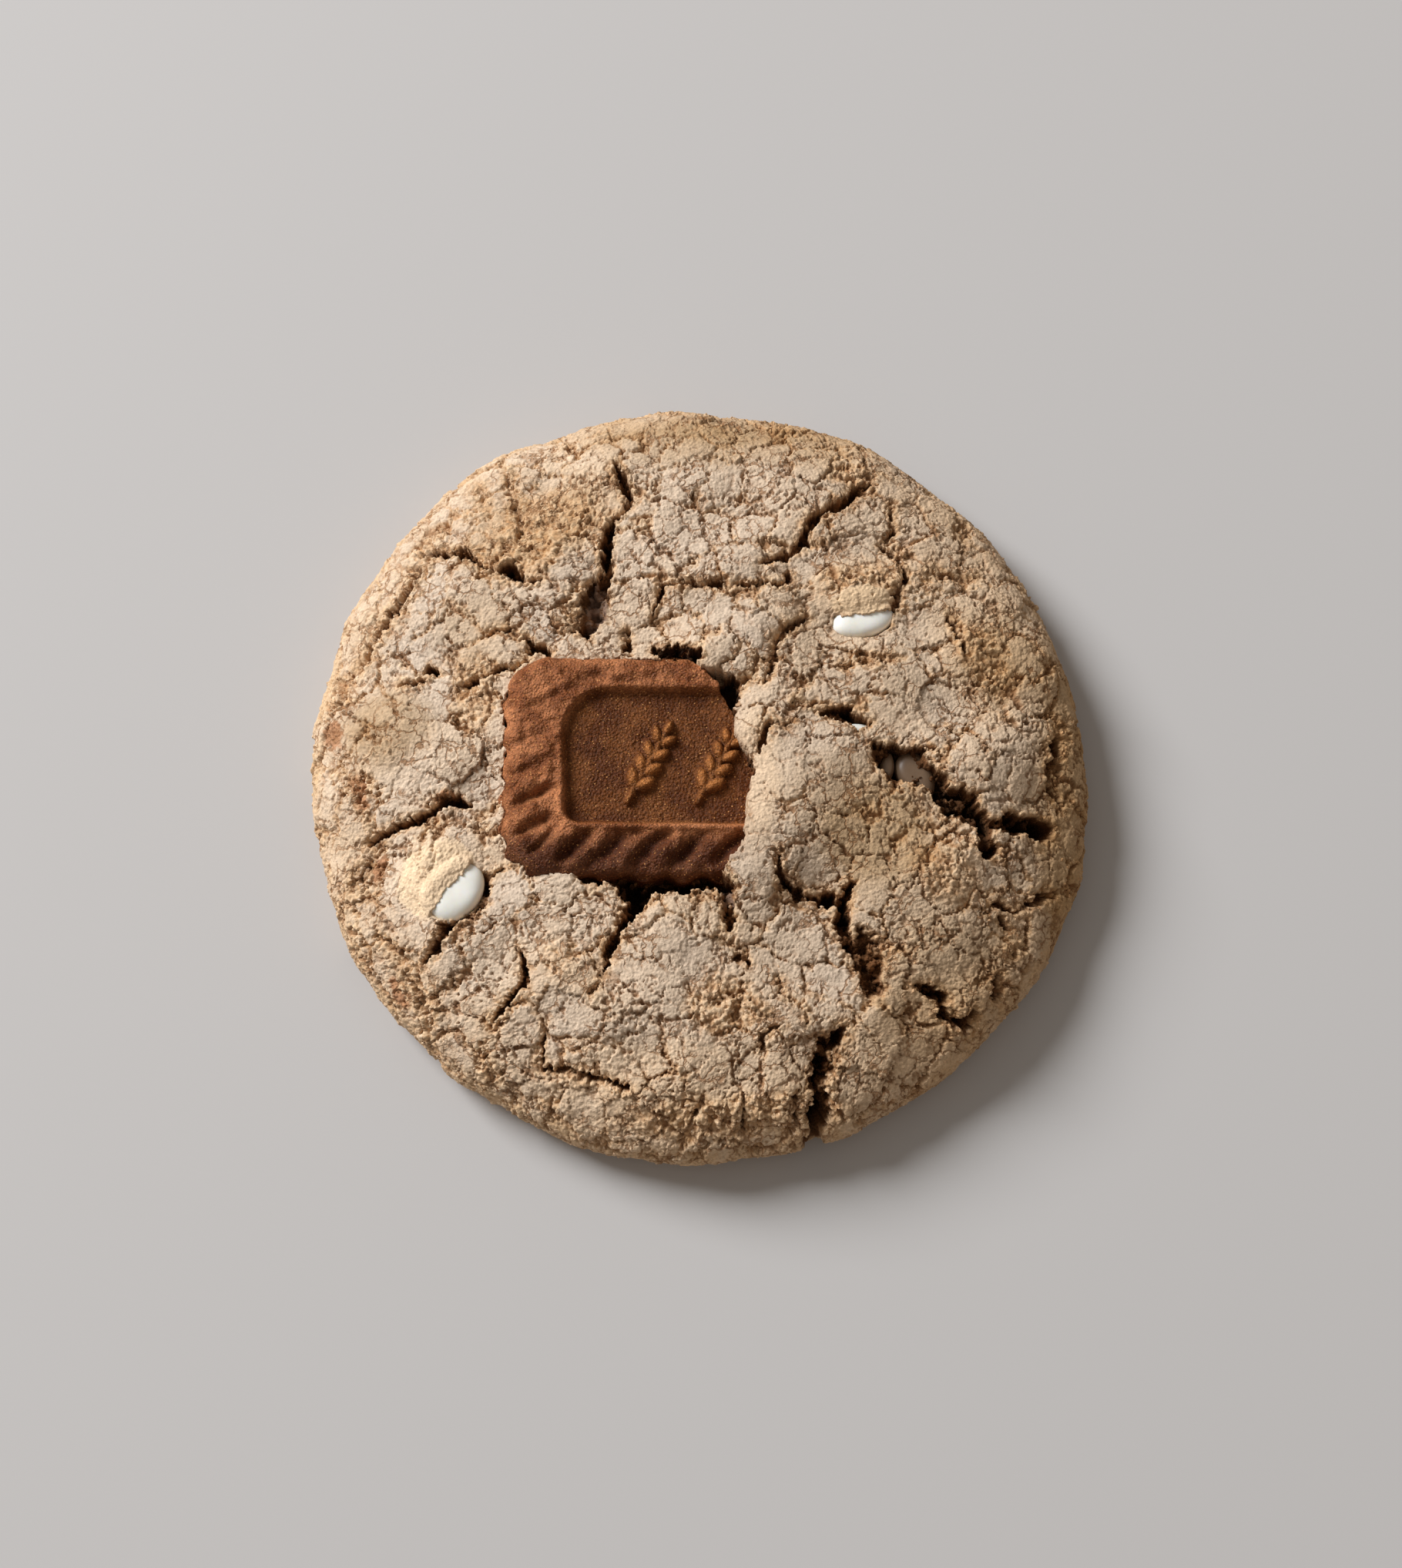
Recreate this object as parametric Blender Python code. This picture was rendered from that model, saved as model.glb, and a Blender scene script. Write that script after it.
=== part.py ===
"""Cookie butter cookie: a thick round cookie with a cracked crust, a piece of caramelised
biscuit baked into its top, and white chips that show in the crust and in its crevices.
Metres, +Z up, with the origin at the middle of the flat underside."""

import math

import bmesh
import bpy
import numpy as np
from mathutils import Matrix, Vector

MM = 0.001

# Cookie
COOKIE_RADIUS = 54.0 * MM
COOKIE_HEIGHT = 15.0 * MM
WIDEST_HEIGHT = 4.2 * MM
BASE_RADIUS = 51.6 * MM
SIDE_FULLNESS = 4.6
GRID_STEP = 2.1 * MM
OUTLINE_SHIFT = (-0.2 * MM, 0.32 * MM)
OUTLINE_WAVES = (
    # waves round the outline, share of the radius, direction of a crest in degrees
    (2, 0.0068, -43.0),
    (3, 0.0040, 2.0),
    (4, 0.0020, -26.0),
    (5, 0.0051, -14.0),
    (6, 0.0021, -3.0),
)

# Gentle lumps of the dough, as a seeded sum of waves in space
LUMP_SEED = 11
LUMP_COUNT = 40
LUMP_LENGTHS = (9.0 * MM, 26.0 * MM)
LUMP_HEIGHT = 0.42 * MM
LUMP_FADE = 2.5 * MM
LUMP_SIDE_SHARE = 0.5

# Raised places of the crust: centre, radii and height in millimetres, and turn in degrees
SWELLS = {
    "crust over the tucked biscuit end": ((14.0, -3.5), (11.0, 13.0), 2.4, 0.0),
    "lip beside the biscuit, upper": ((8.0, 5.5), (5.5, 6.5), 1.3, 0.0),
    "lip beside the biscuit, lower": ((7.5, -13.5), (6.5, 6.0), 1.7, 0.0),
    "plate over the biscuit corner": ((4.6, 15.0), (8.0, 5.5), 2.1, 10.0),
    "dough over the left chip": ((-37.0, -15.5), (5.5, 4.5), 1.5, 50.0),
    "dough over the right chip": ((22.0, 24.0), (6.0, 4.2), 1.5, 12.0),
    "crust edge above the gash": ((37.0, -2.0), (10.0, 5.0), 1.2, -25.0),
    "plate below the biscuit": ((-2.0, -23.5), (7.0, 5.0), 0.8, 0.0),
    "plate at the top": ((-2.0, 30.0), (11.0, 8.0), 0.8, 0.0),
    "plate at the left": ((-38.0, 2.0), (8.0, 9.0), 0.7, 0.0),
}

# Crevices: width and depth in millimetres, then the route over the crust
CREVICES = {
    "top": (1.7, 4.0, ((-11.7, 42.5), (-9.6, 37.2), (-12.0, 34.2), (-13.6, 27.8), (-13.2, 25.6))),
    "top pocket": (3.4, 5.0, ((-13.6, 25.6), (-14.8, 21.5), (-16.2, 17.4))),
    "upper left": (1.8, 3.6, ((-39.0, 30.6), (-33.7, 30.6), (-29.0, 27.3), (-23.0, 25.2))),
    "upper left branch": (1.0, 2.2, ((-27.3, 42.0), (-25.8, 36.0), (-23.7, 30.5))),
    "upper right": (1.8, 3.8, ((22.8, 40.2), (19.7, 37.2), (14.3, 31.5), (8.4, 27.8))),
    "right of top": (1.2, 2.6, ((27.0, 37.0), (25.6, 30.8), (28.5, 26.2), (26.8, 21.5))),
    "plate furrow": (1.1, 2.2, ((14.5, 19.9), (11.2, 17.6), (10.3, 14.3), (9.2, 11.5))),
    "hole": (2.9, 4.2, ((16.9, 6.1), (19.7, 6.5), (22.6, 5.0))),
    "gash": (4.2, 6.5, ((24.6, 0.8), (28.5, -1.0), (32.5, -4.5), (36.0, -7.8), (39.0, -10.5))),
    "gash end": (3.2, 5.2, ((38.6, -12.4), (39.6, -9.6), (43.0, -8.4), (47.0, -9.4))),
    "lower right": (2.6, 5.0, ((10.4, -16.3), (13.0, -18.7), (16.6, -20.0), (19.4, -20.4))),
    "lower right drop": (3.2, 5.6, ((19.2, -18.3), (19.6, -23.0), (22.0, -27.2), (23.6, -31.6))),
    "lower right rim": (2.8, 4.8, ((19.3, -37.2), (16.6, -39.6), (15.7, -44.0), (15.7, -53.0))),
    "right low": (1.7, 3.2, ((29.4, -31.3), (32.2, -33.2), (35.0, -35.8), (37.4, -34.8))),
    "under the biscuit": (3.0, 5.2, ((-14.5, -17.0), (-6.5, -18.0), (0.5, -17.4), (3.2, -18.6))),
    "lower left": (2.0, 4.2, ((-8.5, -19.0), (-11.2, -24.6), (-13.0, -29.6), (-14.2, -32.2))),
    "below the lip": (1.5, 3.0, ((3.0, -18.0), (3.6, -20.5), (4.2, -23.8))),
    "left": (1.9, 4.0, ((-44.8, -10.9), (-38.6, -8.0), (-34.0, -5.7), (-30.6, -6.3))),
    "below the left chip": (1.8, 3.8, ((-31.6, -22.9), (-34.6, -24.6), (-37.4, -28.7))),
    "lower left branch": (1.2, 2.4, ((-24.0, -26.3), (-23.3, -30.8), (-28.0, -35.2))),
    "left rim": (1.3, 1.8, ((-39.7, 28.7), (-42.4, 22.8), (-45.0, 18.0), (-50.0, 9.7))),
    "lower left rim": (1.2, 1.8, ((-43.8, -24.0), (-39.7, -28.8), (-36.6, -36.0))),
    "right rim": (1.8, 2.2, ((49.8, 5.2), (48.3, 1.0), (48.6, -4.0))),
    "bottom": (1.0, 1.8, ((-20.6, -36.4), (-21.3, -42.0), (-15.0, -43.1), (-9.0, -45.2))),
}
CREVICE_STEP = 2.6 * MM
CREVICE_WAVER = 0.22
CREVICE_FLOOR = 2.2 * MM
CREVICE_SEED = 5

# Biscuit: the left part of a rectangular biscuit with a scalloped frame round a sunken panel.
# The part that would lie further right is broken off under the crust.
BISCUIT_LENGTH = 62.0 * MM
BISCUIT_WIDTH = 31.0 * MM
BISCUIT_THICKNESS = 6.5 * MM
BISCUIT_LEFT = -27.0 * MM
BISCUIT_MIDDLE_Y = -1.1 * MM
BISCUIT_REST_X = -7.0 * MM
BISCUIT_TOP_Z = 15.9 * MM
BISCUIT_TILT = math.radians(2.5)
BISCUIT_CORNER = 6.5 * MM
BREAK_X = 9.0 * MM
BREAK_TURN = math.radians(3.0)
BED_PAST_BREAK = 1.3 * MM
PANEL_LENGTH = 45.0 * MM
PANEL_WIDTH = 18.6 * MM
PANEL_CORNER = 4.0 * MM
PANEL_SHIFT_Y = 1.1 * MM
PANEL_DEPTH = 0.9 * MM
RIDGE_HEIGHT = 0.35 * MM
UNDERSIDE_ROUND = 0.9 * MM
EDGE_ROUND = 1.5 * MM
LOOP_COUNTS = (42, 16, 9)

# Grooves lie side by side across the frame, all in one direction, and scallop its outline
GROOVE_PITCH = 3.2 * MM
GROOVE_ANGLE = math.radians(38.0)
GROOVE_PHASE = 0.3
GROOVE_DEPTH = 0.8 * MM
GROOVE_MELT = 0.6
SCALLOP_DEPTH = 0.3 * MM

# Ears of wheat in relief on the panel: places of their feet over the crust, and their tilt
EAR_FEET = ((-10.0 * MM, -6.2 * MM), (-0.5 * MM, -6.2 * MM))
EAR_TILT = math.radians(62.0)
EAR_PAIRS = 4
EAR_PITCH = 2.3 * MM
EAR_STALK = 3.2 * MM
GRAIN_LENGTH = 3.5 * MM
GRAIN_WIDTH = 1.7 * MM
GRAIN_HEIGHT = 1.5 * MM
GRAIN_SPREAD = math.radians(34.0)
GRAIN_SHRINK = 0.08
STEM_WIDTH = 0.9 * MM
STEM_HEIGHT = 1.0 * MM

# Edge of the crust where it lies over the biscuit, from top to bottom, in millimetres
LIP_ROUTE = (
    (-1.8, 17.2), (-1.6, 14.7), (0.2, 11.9), (2.9, 10.9), (4.2, 9.0), (3.7, 7.0), (4.9, 2.5),
    (7.2, -1.7), (6.3, -4.5), (6.2, -11.5), (3.7, -15.0), (2.5, -18.0),
)
LIP_WINDOW_LEFT = ((-20.0, -16.0), (-20.0, 13.5), (-6.6, 14.6), (-5.6, 16.6))

# White chips: middle in millimetres, then length, width, height, and turn in degrees
CHIPS = {
    "chip_left": ((-33.3, -18.2, 12.9), (9.0, 6.8, 5.4), 50.0, 3),
    "chip_right": ((22.4, 20.4, 12.6), (8.8, 5.6, 5.0), 12.0, 3),
    "chip_hole": ((21.2, 3.9, 12.4), (5.4, 3.6, 3.6), 10.0, 2),
    "chip_gash": ((29.9, -2.2, 10.6), (6.0, 4.4, 4.2), -60.0, 2),
    "chip_gash_small": ((25.5, -0.6, 11.2), (4.0, 2.2, 3.4), 80.0, 2),
}
GAP = 0.35 * MM


def metres(points):
    """Turns a route in millimetres into one in metres."""
    return [tuple(value * MM for value in point) for point in points]


def outline_scale(angle):
    """Share of the plain radius at which the outline lies in each direction."""
    scale = np.ones_like(angle)
    for count, share, crest in OUTLINE_WAVES:
        scale += share * np.cos(count * (angle - math.radians(crest)))
    return scale


def lumps(points):
    """Height of the dough's lumps at points in space."""
    random = np.random.default_rng(LUMP_SEED)
    total = np.zeros(len(points))
    for _ in range(LUMP_COUNT):
        direction = random.normal(size=3)
        direction /= np.linalg.norm(direction)
        length = random.uniform(*LUMP_LENGTHS)
        phase = random.uniform(0.0, 2.0 * math.pi)
        total += np.sin(points @ direction * (2.0 * math.pi / length) + phase)
    return LUMP_HEIGHT * total * math.sqrt(2.0 / LUMP_COUNT)


def swells(x, y):
    """Height of the raised places of the crust."""
    total = np.zeros_like(x)
    for centre, radii, height, turn in SWELLS.values():
        c, s = math.cos(math.radians(turn)), math.sin(math.radians(turn))
        dx, dy = x - centre[0] * MM, y - centre[1] * MM
        along = (c * dx + s * dy) / (radii[0] * MM)
        across = (c * dy - s * dx) / (radii[1] * MM)
        total += height * MM * np.exp(-(along**2 + across**2) ** 1.4)
    return total


def dome(x, y):
    """Height of the crust over a point in plan, with its raised places."""
    radius = COOKIE_RADIUS * outline_scale(np.arctan2(y, x))
    share = np.clip(np.hypot(x, y) / radius, 0.0, 1.0)
    rise = COOKIE_HEIGHT - WIDEST_HEIGHT
    return WIDEST_HEIGHT + rise * np.sqrt(1.0 - share**SIDE_FULLNESS) + swells(x, y)


def side_profile():
    """Radius and height along the cookie's side, from the top's middle to the flat base."""
    turn = 0.5 * math.pi * np.linspace(0.0, 1.0, 300) ** 2
    upper_r = COOKIE_RADIUS * np.sin(turn) ** (2.0 / SIDE_FULLNESS)
    upper_z = WIDEST_HEIGHT + (COOKIE_HEIGHT - WIDEST_HEIGHT) * np.cos(turn)
    drop = np.linspace(0.0, 1.0, 40)[1:]
    lower_r = BASE_RADIUS + (COOKIE_RADIUS - BASE_RADIUS) * np.sqrt(1.0 - drop**2)
    lower_z = WIDEST_HEIGHT * (1.0 - drop)
    return np.append(upper_r, lower_r), np.append(upper_z, lower_z)


def ring_faces(inner, outer):
    """Triangles between two rings of vertex numbers that both start at angle 0."""
    faces = []
    i = j = 0
    while i < len(inner) or j < len(outer):
        a, b = inner[i % len(inner)], outer[j % len(outer)]
        if j < len(outer) and (j + 1) * len(inner) <= (i + 1) * len(outer):
            faces.append((a, b, outer[(j + 1) % len(outer)]))
            j += 1
        else:
            faces.append((a, b, inner[(i + 1) % len(inner)]))
            i += 1
    return faces


def make_object(name, vertices, faces, material):
    """Makes a smooth-shaded object from points and faces."""
    mesh = bpy.data.meshes.new(name)
    mesh.from_pydata([tuple(vertex) for vertex in vertices], [], faces)
    bm = bmesh.new()
    bm.from_mesh(mesh)
    bmesh.ops.recalc_face_normals(bm, faces=bm.faces[:])
    bm.to_mesh(mesh)
    bm.free()
    mesh.shade_smooth()
    piece = bpy.data.objects.new(name, mesh)
    bpy.context.scene.collection.objects.link(piece)
    if material is not None:
        mesh.materials.append(material)
    return piece


def food_material(name, color, roughness):
    """A plain Principled material of a food's colour."""
    material = bpy.data.materials.new(name)
    material.use_nodes = True
    shader = material.node_tree.nodes["Principled BSDF"]
    shader.inputs["Base Color"].default_value = (*color, 1.0)
    shader.inputs["Roughness"].default_value = roughness
    shader.inputs["Metallic"].default_value = 0.0
    return material


def cut_from(piece, cutter):
    """Hides a cutter and takes its shape out of a piece."""
    cutter.hide_render = True
    cutter.display_type = "WIRE"
    cut = piece.modifiers.new("Cut " + cutter.name, "BOOLEAN")
    cut.operation = "DIFFERENCE"
    cut.solver = "EXACT"
    cut.object = cutter


def make_cookie(material):
    """The round body: rings of triangles that follow the side profile down to a flat base."""
    radii, heights = side_profile()
    along = np.append(0.0, np.cumsum(np.hypot(np.diff(radii), np.diff(heights))))
    ring_total = round(along[-1] / GRID_STEP)
    widest_count = 6 * round(2.0 * math.pi * COOKIE_RADIUS / GRID_STEP / 6.0)
    rings, points = [[0]], [(0.0, 0.0, COOKIE_HEIGHT)]
    lean = [(0.0, 1.0)]
    slope_r, slope_z = np.gradient(radii, along), np.gradient(heights, along)
    for ring in range(1, ring_total + 1):
        place = along[-1] * ring / ring_total
        radius, height = np.interp(place, along, radii), np.interp(place, along, heights)
        normal = (-np.interp(place, along, slope_z), np.interp(place, along, slope_r))
        count = min(6 * ring, widest_count)
        rings.append(list(range(len(points), len(points) + count)))
        for step in range(count):
            angle = 2.0 * math.pi * step / count
            points.append((radius * math.cos(angle), radius * math.sin(angle), height))
            lean.append(normal)
    points, lean = np.array(points), np.array(lean)
    angle = np.arctan2(points[:, 1], points[:, 0])
    points[:, :2] *= outline_scale(angle)[:, None]
    fade = np.clip(points[:, 2] / LUMP_FADE, 0.0, 1.0)
    bulge = lumps(points) * fade
    top = np.clip(lean[:, 1], 0.0, 1.0)
    lift = swells(points[:, 0], points[:, 1]) * top
    outward = LUMP_SIDE_SHARE * bulge * lean[:, 0]
    points[:, 0] += outward * np.cos(angle) + OUTLINE_SHIFT[0]
    points[:, 1] += outward * np.sin(angle) + OUTLINE_SHIFT[1]
    points[:, 2] += bulge * lean[:, 1] + lift
    points[rings[-1], 2] = 0.0
    faces = []
    for inner, outer in zip(rings, rings[1:]):
        faces += ring_faces(inner, outer)
    faces.append(tuple(rings[-1]))
    return make_object("cookie", points, faces, material)


def sample_route(route, step):
    """Points at an even step along a route, with both of its ends."""
    route = np.array(route)
    along = np.append(0.0, np.cumsum(np.hypot(*np.diff(route, axis=0).T)))
    places = np.linspace(0.0, along[-1], max(2, round(along[-1] / step)) + 1)
    return np.column_stack([np.interp(places, along, route[:, axis]) for axis in (0, 1)])


def make_crevice_cutter(name, width, depth, route, random):
    """A wedge along a route, open above the crust, whose width wavers and ends in points."""
    centre = sample_route(metres(route), CREVICE_STEP)
    heading = np.gradient(centre, axis=0)
    heading /= np.linalg.norm(heading, axis=1)[:, None]
    side = np.column_stack([-heading[:, 1], heading[:, 0]])
    count = len(centre)
    taper = np.ones(count)
    taper[[0, -1]] = 0.3
    half = 0.5 * width * MM * taper * (1.0 + CREVICE_WAVER * random.uniform(-1.0, 1.0, count))
    centre = centre + side * (CREVICE_WAVER * width * MM * random.uniform(-1.0, 1.0, count))[:, None]
    surface = dome(centre[:, 0], centre[:, 1])
    floor = np.maximum(surface - depth * MM * np.sqrt(taper), CREVICE_FLOOR)
    above = np.full(count, COOKIE_HEIGHT + 6.0 * MM)
    levels = ((1.15, above), (1.0, surface), (0.3, floor))
    vertices = []
    for index in range(count):
        for sign in (1.0, -1.0):
            for share, height in (levels if sign > 0.0 else levels[::-1]):
                place = centre[index] + sign * share * half[index] * side[index]
                vertices.append((place[0], place[1], height[index]))
    size = 2 * len(levels)
    faces = [tuple(range(size)), tuple(range((count - 1) * size, count * size))]
    for index in range(count - 1):
        for corner in range(size):
            following = (corner + 1) % size
            start = index * size
            faces.append((start + corner, start + following,
                          start + size + following, start + size + corner))
    return make_object("crevice " + name, vertices, faces, None)


def rounded_rectangle(length, width, corner, counts):
    """Points round a rectangle with round corners: counts on a long side, a short side and
    a corner."""
    half_l, half_w = 0.5 * length - corner, 0.5 * width - corner
    long_count, short_count, corner_count = counts
    starts = ((half_l, half_w, 0.0, long_count), (-half_l, half_w, 90.0, short_count),
              (-half_l, -half_w, 180.0, long_count), (half_l, -half_w, 270.0, short_count))
    points = []
    for index, (x, y, start, count) in enumerate(starts):
        for step in range(corner_count + 1):
            turn = math.radians(start + 90.0 * step / corner_count)
            points.append((x + corner * math.cos(turn), y + corner * math.sin(turn)))
        next_x, next_y, next_start, _ = starts[(index + 1) % 4]
        turn = math.radians(next_start)
        arc_end = points[-1]
        next_arc = (next_x + corner * math.cos(turn), next_y + corner * math.sin(turn))
        for step in range(1, count):
            share = step / count
            points.append((arc_end[0] + (next_arc[0] - arc_end[0]) * share,
                           arc_end[1] + (next_arc[1] - arc_end[1]) * share))
    return np.array(points)


def place_biscuit(piece):
    """Lays a shape from the biscuit's own plane down in the crust, its right end lower."""
    tilt = Matrix.Rotation(BISCUIT_TILT, 4, "Y")
    rest = Vector((BISCUIT_REST_X, BISCUIT_MIDDLE_Y, BISCUIT_TOP_Z - 0.5 * BISCUIT_THICKNESS))
    middle = Matrix.Translation((BISCUIT_LEFT + 0.5 * BISCUIT_LENGTH - BISCUIT_REST_X, 0.0, 0.0))
    piece.matrix_world = Matrix.Translation(rest) @ tilt @ middle


def in_biscuit(x, y):
    """A place over the crust, in the biscuit's own plane."""
    return x - BISCUIT_LEFT - 0.5 * BISCUIT_LENGTH, y - BISCUIT_MIDDLE_Y


def groove_wave(x, y):
    """1 in the middle of a groove of the frame and -1 on the ridge between two."""
    across = x * math.sin(GROOVE_ANGLE) - y * math.cos(GROOVE_ANGLE)
    return np.cos(2.0 * math.pi * (across / GROOVE_PITCH + GROOVE_PHASE))


def make_biscuit(material):
    """The biscuit: loops from its underside up over the frame and down to the panel."""
    top = 0.5 * BISCUIT_THICKNESS
    # each loop: share of the way in from outline to panel, height, scallops and grooves
    loops = (
        (0.14, -top, 0.0, 0.0),
        (0.03, -top + UNDERSIDE_ROUND, 0.5, 0.0),
        (0.03, top - EDGE_ROUND, 1.0, 0.0),
        (0.10, top - 0.4 * EDGE_ROUND, 1.0, 0.35),
        (0.28, top, 0.4, 1.0),
        (0.58, top, 0.0, 1.0),
        (0.84, top + RIDGE_HEIGHT, 0.0, 0.15),
        (1.00, top - PANEL_DEPTH, 0.0, 0.0),
    )
    outer = rounded_rectangle(BISCUIT_LENGTH, BISCUIT_WIDTH, BISCUIT_CORNER, LOOP_COUNTS)
    inner = rounded_rectangle(PANEL_LENGTH, PANEL_WIDTH, PANEL_CORNER, LOOP_COUNTS)
    inner[:, 1] += PANEL_SHIFT_Y
    vertices, rings = [], []
    for share, height, scallop_share, groove_share in loops:
        loop = outer * (1.0 - share) + inner * share
        wave = groove_wave(loop[:, 0], loop[:, 1])
        size = np.linalg.norm(loop, axis=1)
        loop *= (1.0 - scallop_share * SCALLOP_DEPTH * wave / size)[:, None]
        melt = 1.0 - GROOVE_MELT * np.clip(2.0 * loop[:, 1] / BISCUIT_WIDTH, 0.0, 1.0)
        z = height - groove_share * GROOVE_DEPTH * melt * np.clip(wave + 0.2, 0.0, 1.2) / 1.2
        rings.append(list(range(len(vertices), len(vertices) + len(loop))))
        vertices += [(x, y, h) for (x, y), h in zip(loop, z)]
    faces = [tuple(rings[0][::-1]), tuple(rings[-1])]
    for lower, upper in zip(rings, rings[1:]):
        faces += ring_faces(lower, upper)
    biscuit = make_object("biscuit", vertices, faces, material)
    place_biscuit(biscuit)
    return biscuit


def make_grain(place, heading, size):
    """One pointed grain of an ear, half sunk in the panel."""
    bm = bmesh.new()
    bmesh.ops.create_icosphere(bm, subdivisions=1, radius=0.5)
    full = (GRAIN_LENGTH * size, GRAIN_WIDTH * size, GRAIN_HEIGHT)
    bmesh.ops.scale(bm, vec=full, verts=bm.verts)
    bmesh.ops.rotate(bm, matrix=Matrix.Rotation(heading, 3, "Z"), verts=bm.verts)
    bmesh.ops.translate(bm, vec=place, verts=bm.verts)
    return bm


def make_stem(foot, along, length):
    """The straight stem of an ear, half sunk in the panel."""
    bm = bmesh.new()
    bmesh.ops.create_cube(bm, size=1.0)
    bmesh.ops.scale(bm, vec=(length, STEM_WIDTH, STEM_HEIGHT), verts=bm.verts)
    bmesh.ops.rotate(bm, matrix=Matrix.Rotation(EAR_TILT, 3, "Z"), verts=bm.verts)
    bmesh.ops.translate(bm, vec=foot + along * (0.5 * length), verts=bm.verts)
    return bm


def make_ears(biscuit):
    """Ears of wheat raised on the panel: each a stem, pairs of grains and one at the tip."""
    level = 0.5 * BISCUIT_THICKNESS - PANEL_DEPTH
    along = Vector((math.cos(EAR_TILT), math.sin(EAR_TILT), 0.0))
    across = Vector((-along.y, along.x, 0.0))
    shapes = []
    for x, y in EAR_FEET:
        foot = Vector((*in_biscuit(x, y), level))
        for pair in range(EAR_PAIRS):
            middle = foot + along * (EAR_STALK + pair * EAR_PITCH)
            size = 1.0 - GRAIN_SHRINK * pair
            for sign in (1.0, -1.0):
                place = middle + across * sign * 0.52 * GRAIN_WIDTH
                shapes.append(make_grain(place, EAR_TILT + sign * GRAIN_SPREAD, size))
        tip = foot + along * (EAR_STALK + (EAR_PAIRS - 0.3) * EAR_PITCH)
        shapes.append(make_grain(tip, EAR_TILT, 1.0 - GRAIN_SHRINK * EAR_PAIRS))
        shapes.append(make_stem(foot, along, EAR_STALK + EAR_PAIRS * EAR_PITCH))
    parts = bpy.data.collections.new("ears of wheat")
    bpy.context.scene.collection.children.link(parts)
    for number, shape in enumerate(shapes):
        mesh = bpy.data.meshes.new(f"ear {number}")
        shape.to_mesh(mesh)
        shape.free()
        grain = bpy.data.objects.new(mesh.name, mesh)
        parts.objects.link(grain)
        place_biscuit(grain)
        grain.hide_render = True
        grain.display_type = "WIRE"
    join = biscuit.modifiers.new("Join ears of wheat", "BOOLEAN")
    join.operation = "UNION"
    join.solver = "EXACT"
    join.operand_type = "COLLECTION"
    join.collection = parts


def make_prism(name, outline, low, high):
    """A closed upright prism over an outline."""
    count = len(outline)
    vertices = [(x, y, low) for x, y in outline] + [(x, y, high) for x, y in outline]
    faces = [tuple(range(count)), tuple(range(count, 2 * count))]
    for index in range(count):
        following = (index + 1) % count
        faces.append((index, following, count + following, count + index))
    return make_object(name, vertices, faces, None)


def make_break_cutter():
    """Takes off the biscuit's right part, where it is broken under the crust."""
    half = BISCUIT_LENGTH
    outline = ((0.0, -half), (2.0 * half, -half), (2.0 * half, half), (0.0, half))
    cutter = make_prism("biscuit break", outline, 0.0, COOKIE_HEIGHT + BISCUIT_THICKNESS)
    turn = Matrix.Rotation(BREAK_TURN, 4, "Z")
    cutter.matrix_world = Matrix.Translation((BREAK_X, BISCUIT_MIDDLE_Y, 0.0)) @ turn
    return cutter


def make_bed_cutter():
    """The biscuit's bed in the dough: its plain outline with a small gap all round."""
    half = 0.5 * BISCUIT_THICKNESS + GAP
    room = 2.0 * (GAP + SCALLOP_DEPTH)
    outline = rounded_rectangle(BISCUIT_LENGTH + room, BISCUIT_WIDTH + room,
                                BISCUIT_CORNER, (6, 4, 5))
    end = BREAK_X + BED_PAST_BREAK - BISCUIT_LEFT - 0.5 * BISCUIT_LENGTH
    outline[:, 0] = np.minimum(outline[:, 0], end)
    bed = make_prism("biscuit bed", outline, -half, half + RIDGE_HEIGHT)
    place_biscuit(bed)
    return bed


def make_window_cutter():
    """Clears the crust off the part of the biscuit that shows, up to the lip."""
    outline = metres(LIP_ROUTE + LIP_WINDOW_LEFT)
    low = BISCUIT_TOP_Z - 0.5 * BISCUIT_THICKNESS
    return make_prism("lip window", outline, low, COOKIE_HEIGHT + 6.0 * MM)


def make_chip(name, centre, size, turn, detail, grow, material):
    """A drop-shaped chip: a ball flattened below and drawn up a little at one end."""
    bm = bmesh.new()
    bmesh.ops.create_icosphere(bm, subdivisions=detail, radius=0.5)
    for vertex in bm.verts:
        narrowing = 1.0 - 0.35 * (vertex.co.x + 0.5)
        vertex.co.y *= narrowing
        vertex.co.z *= narrowing
    full = Vector([value * MM + 2.0 * grow for value in size])
    bmesh.ops.scale(bm, vec=full, verts=bm.verts)
    bmesh.ops.rotate(bm, matrix=Matrix.Rotation(math.radians(turn), 3, "Z"), verts=bm.verts)
    bmesh.ops.translate(bm, vec=metres([centre])[0], verts=bm.verts)
    mesh = bpy.data.meshes.new(name)
    bm.to_mesh(mesh)
    bm.free()
    mesh.shade_smooth()
    chip = bpy.data.objects.new(name, mesh)
    bpy.context.scene.collection.objects.link(chip)
    if material is not None:
        mesh.materials.append(material)
    return chip


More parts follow.
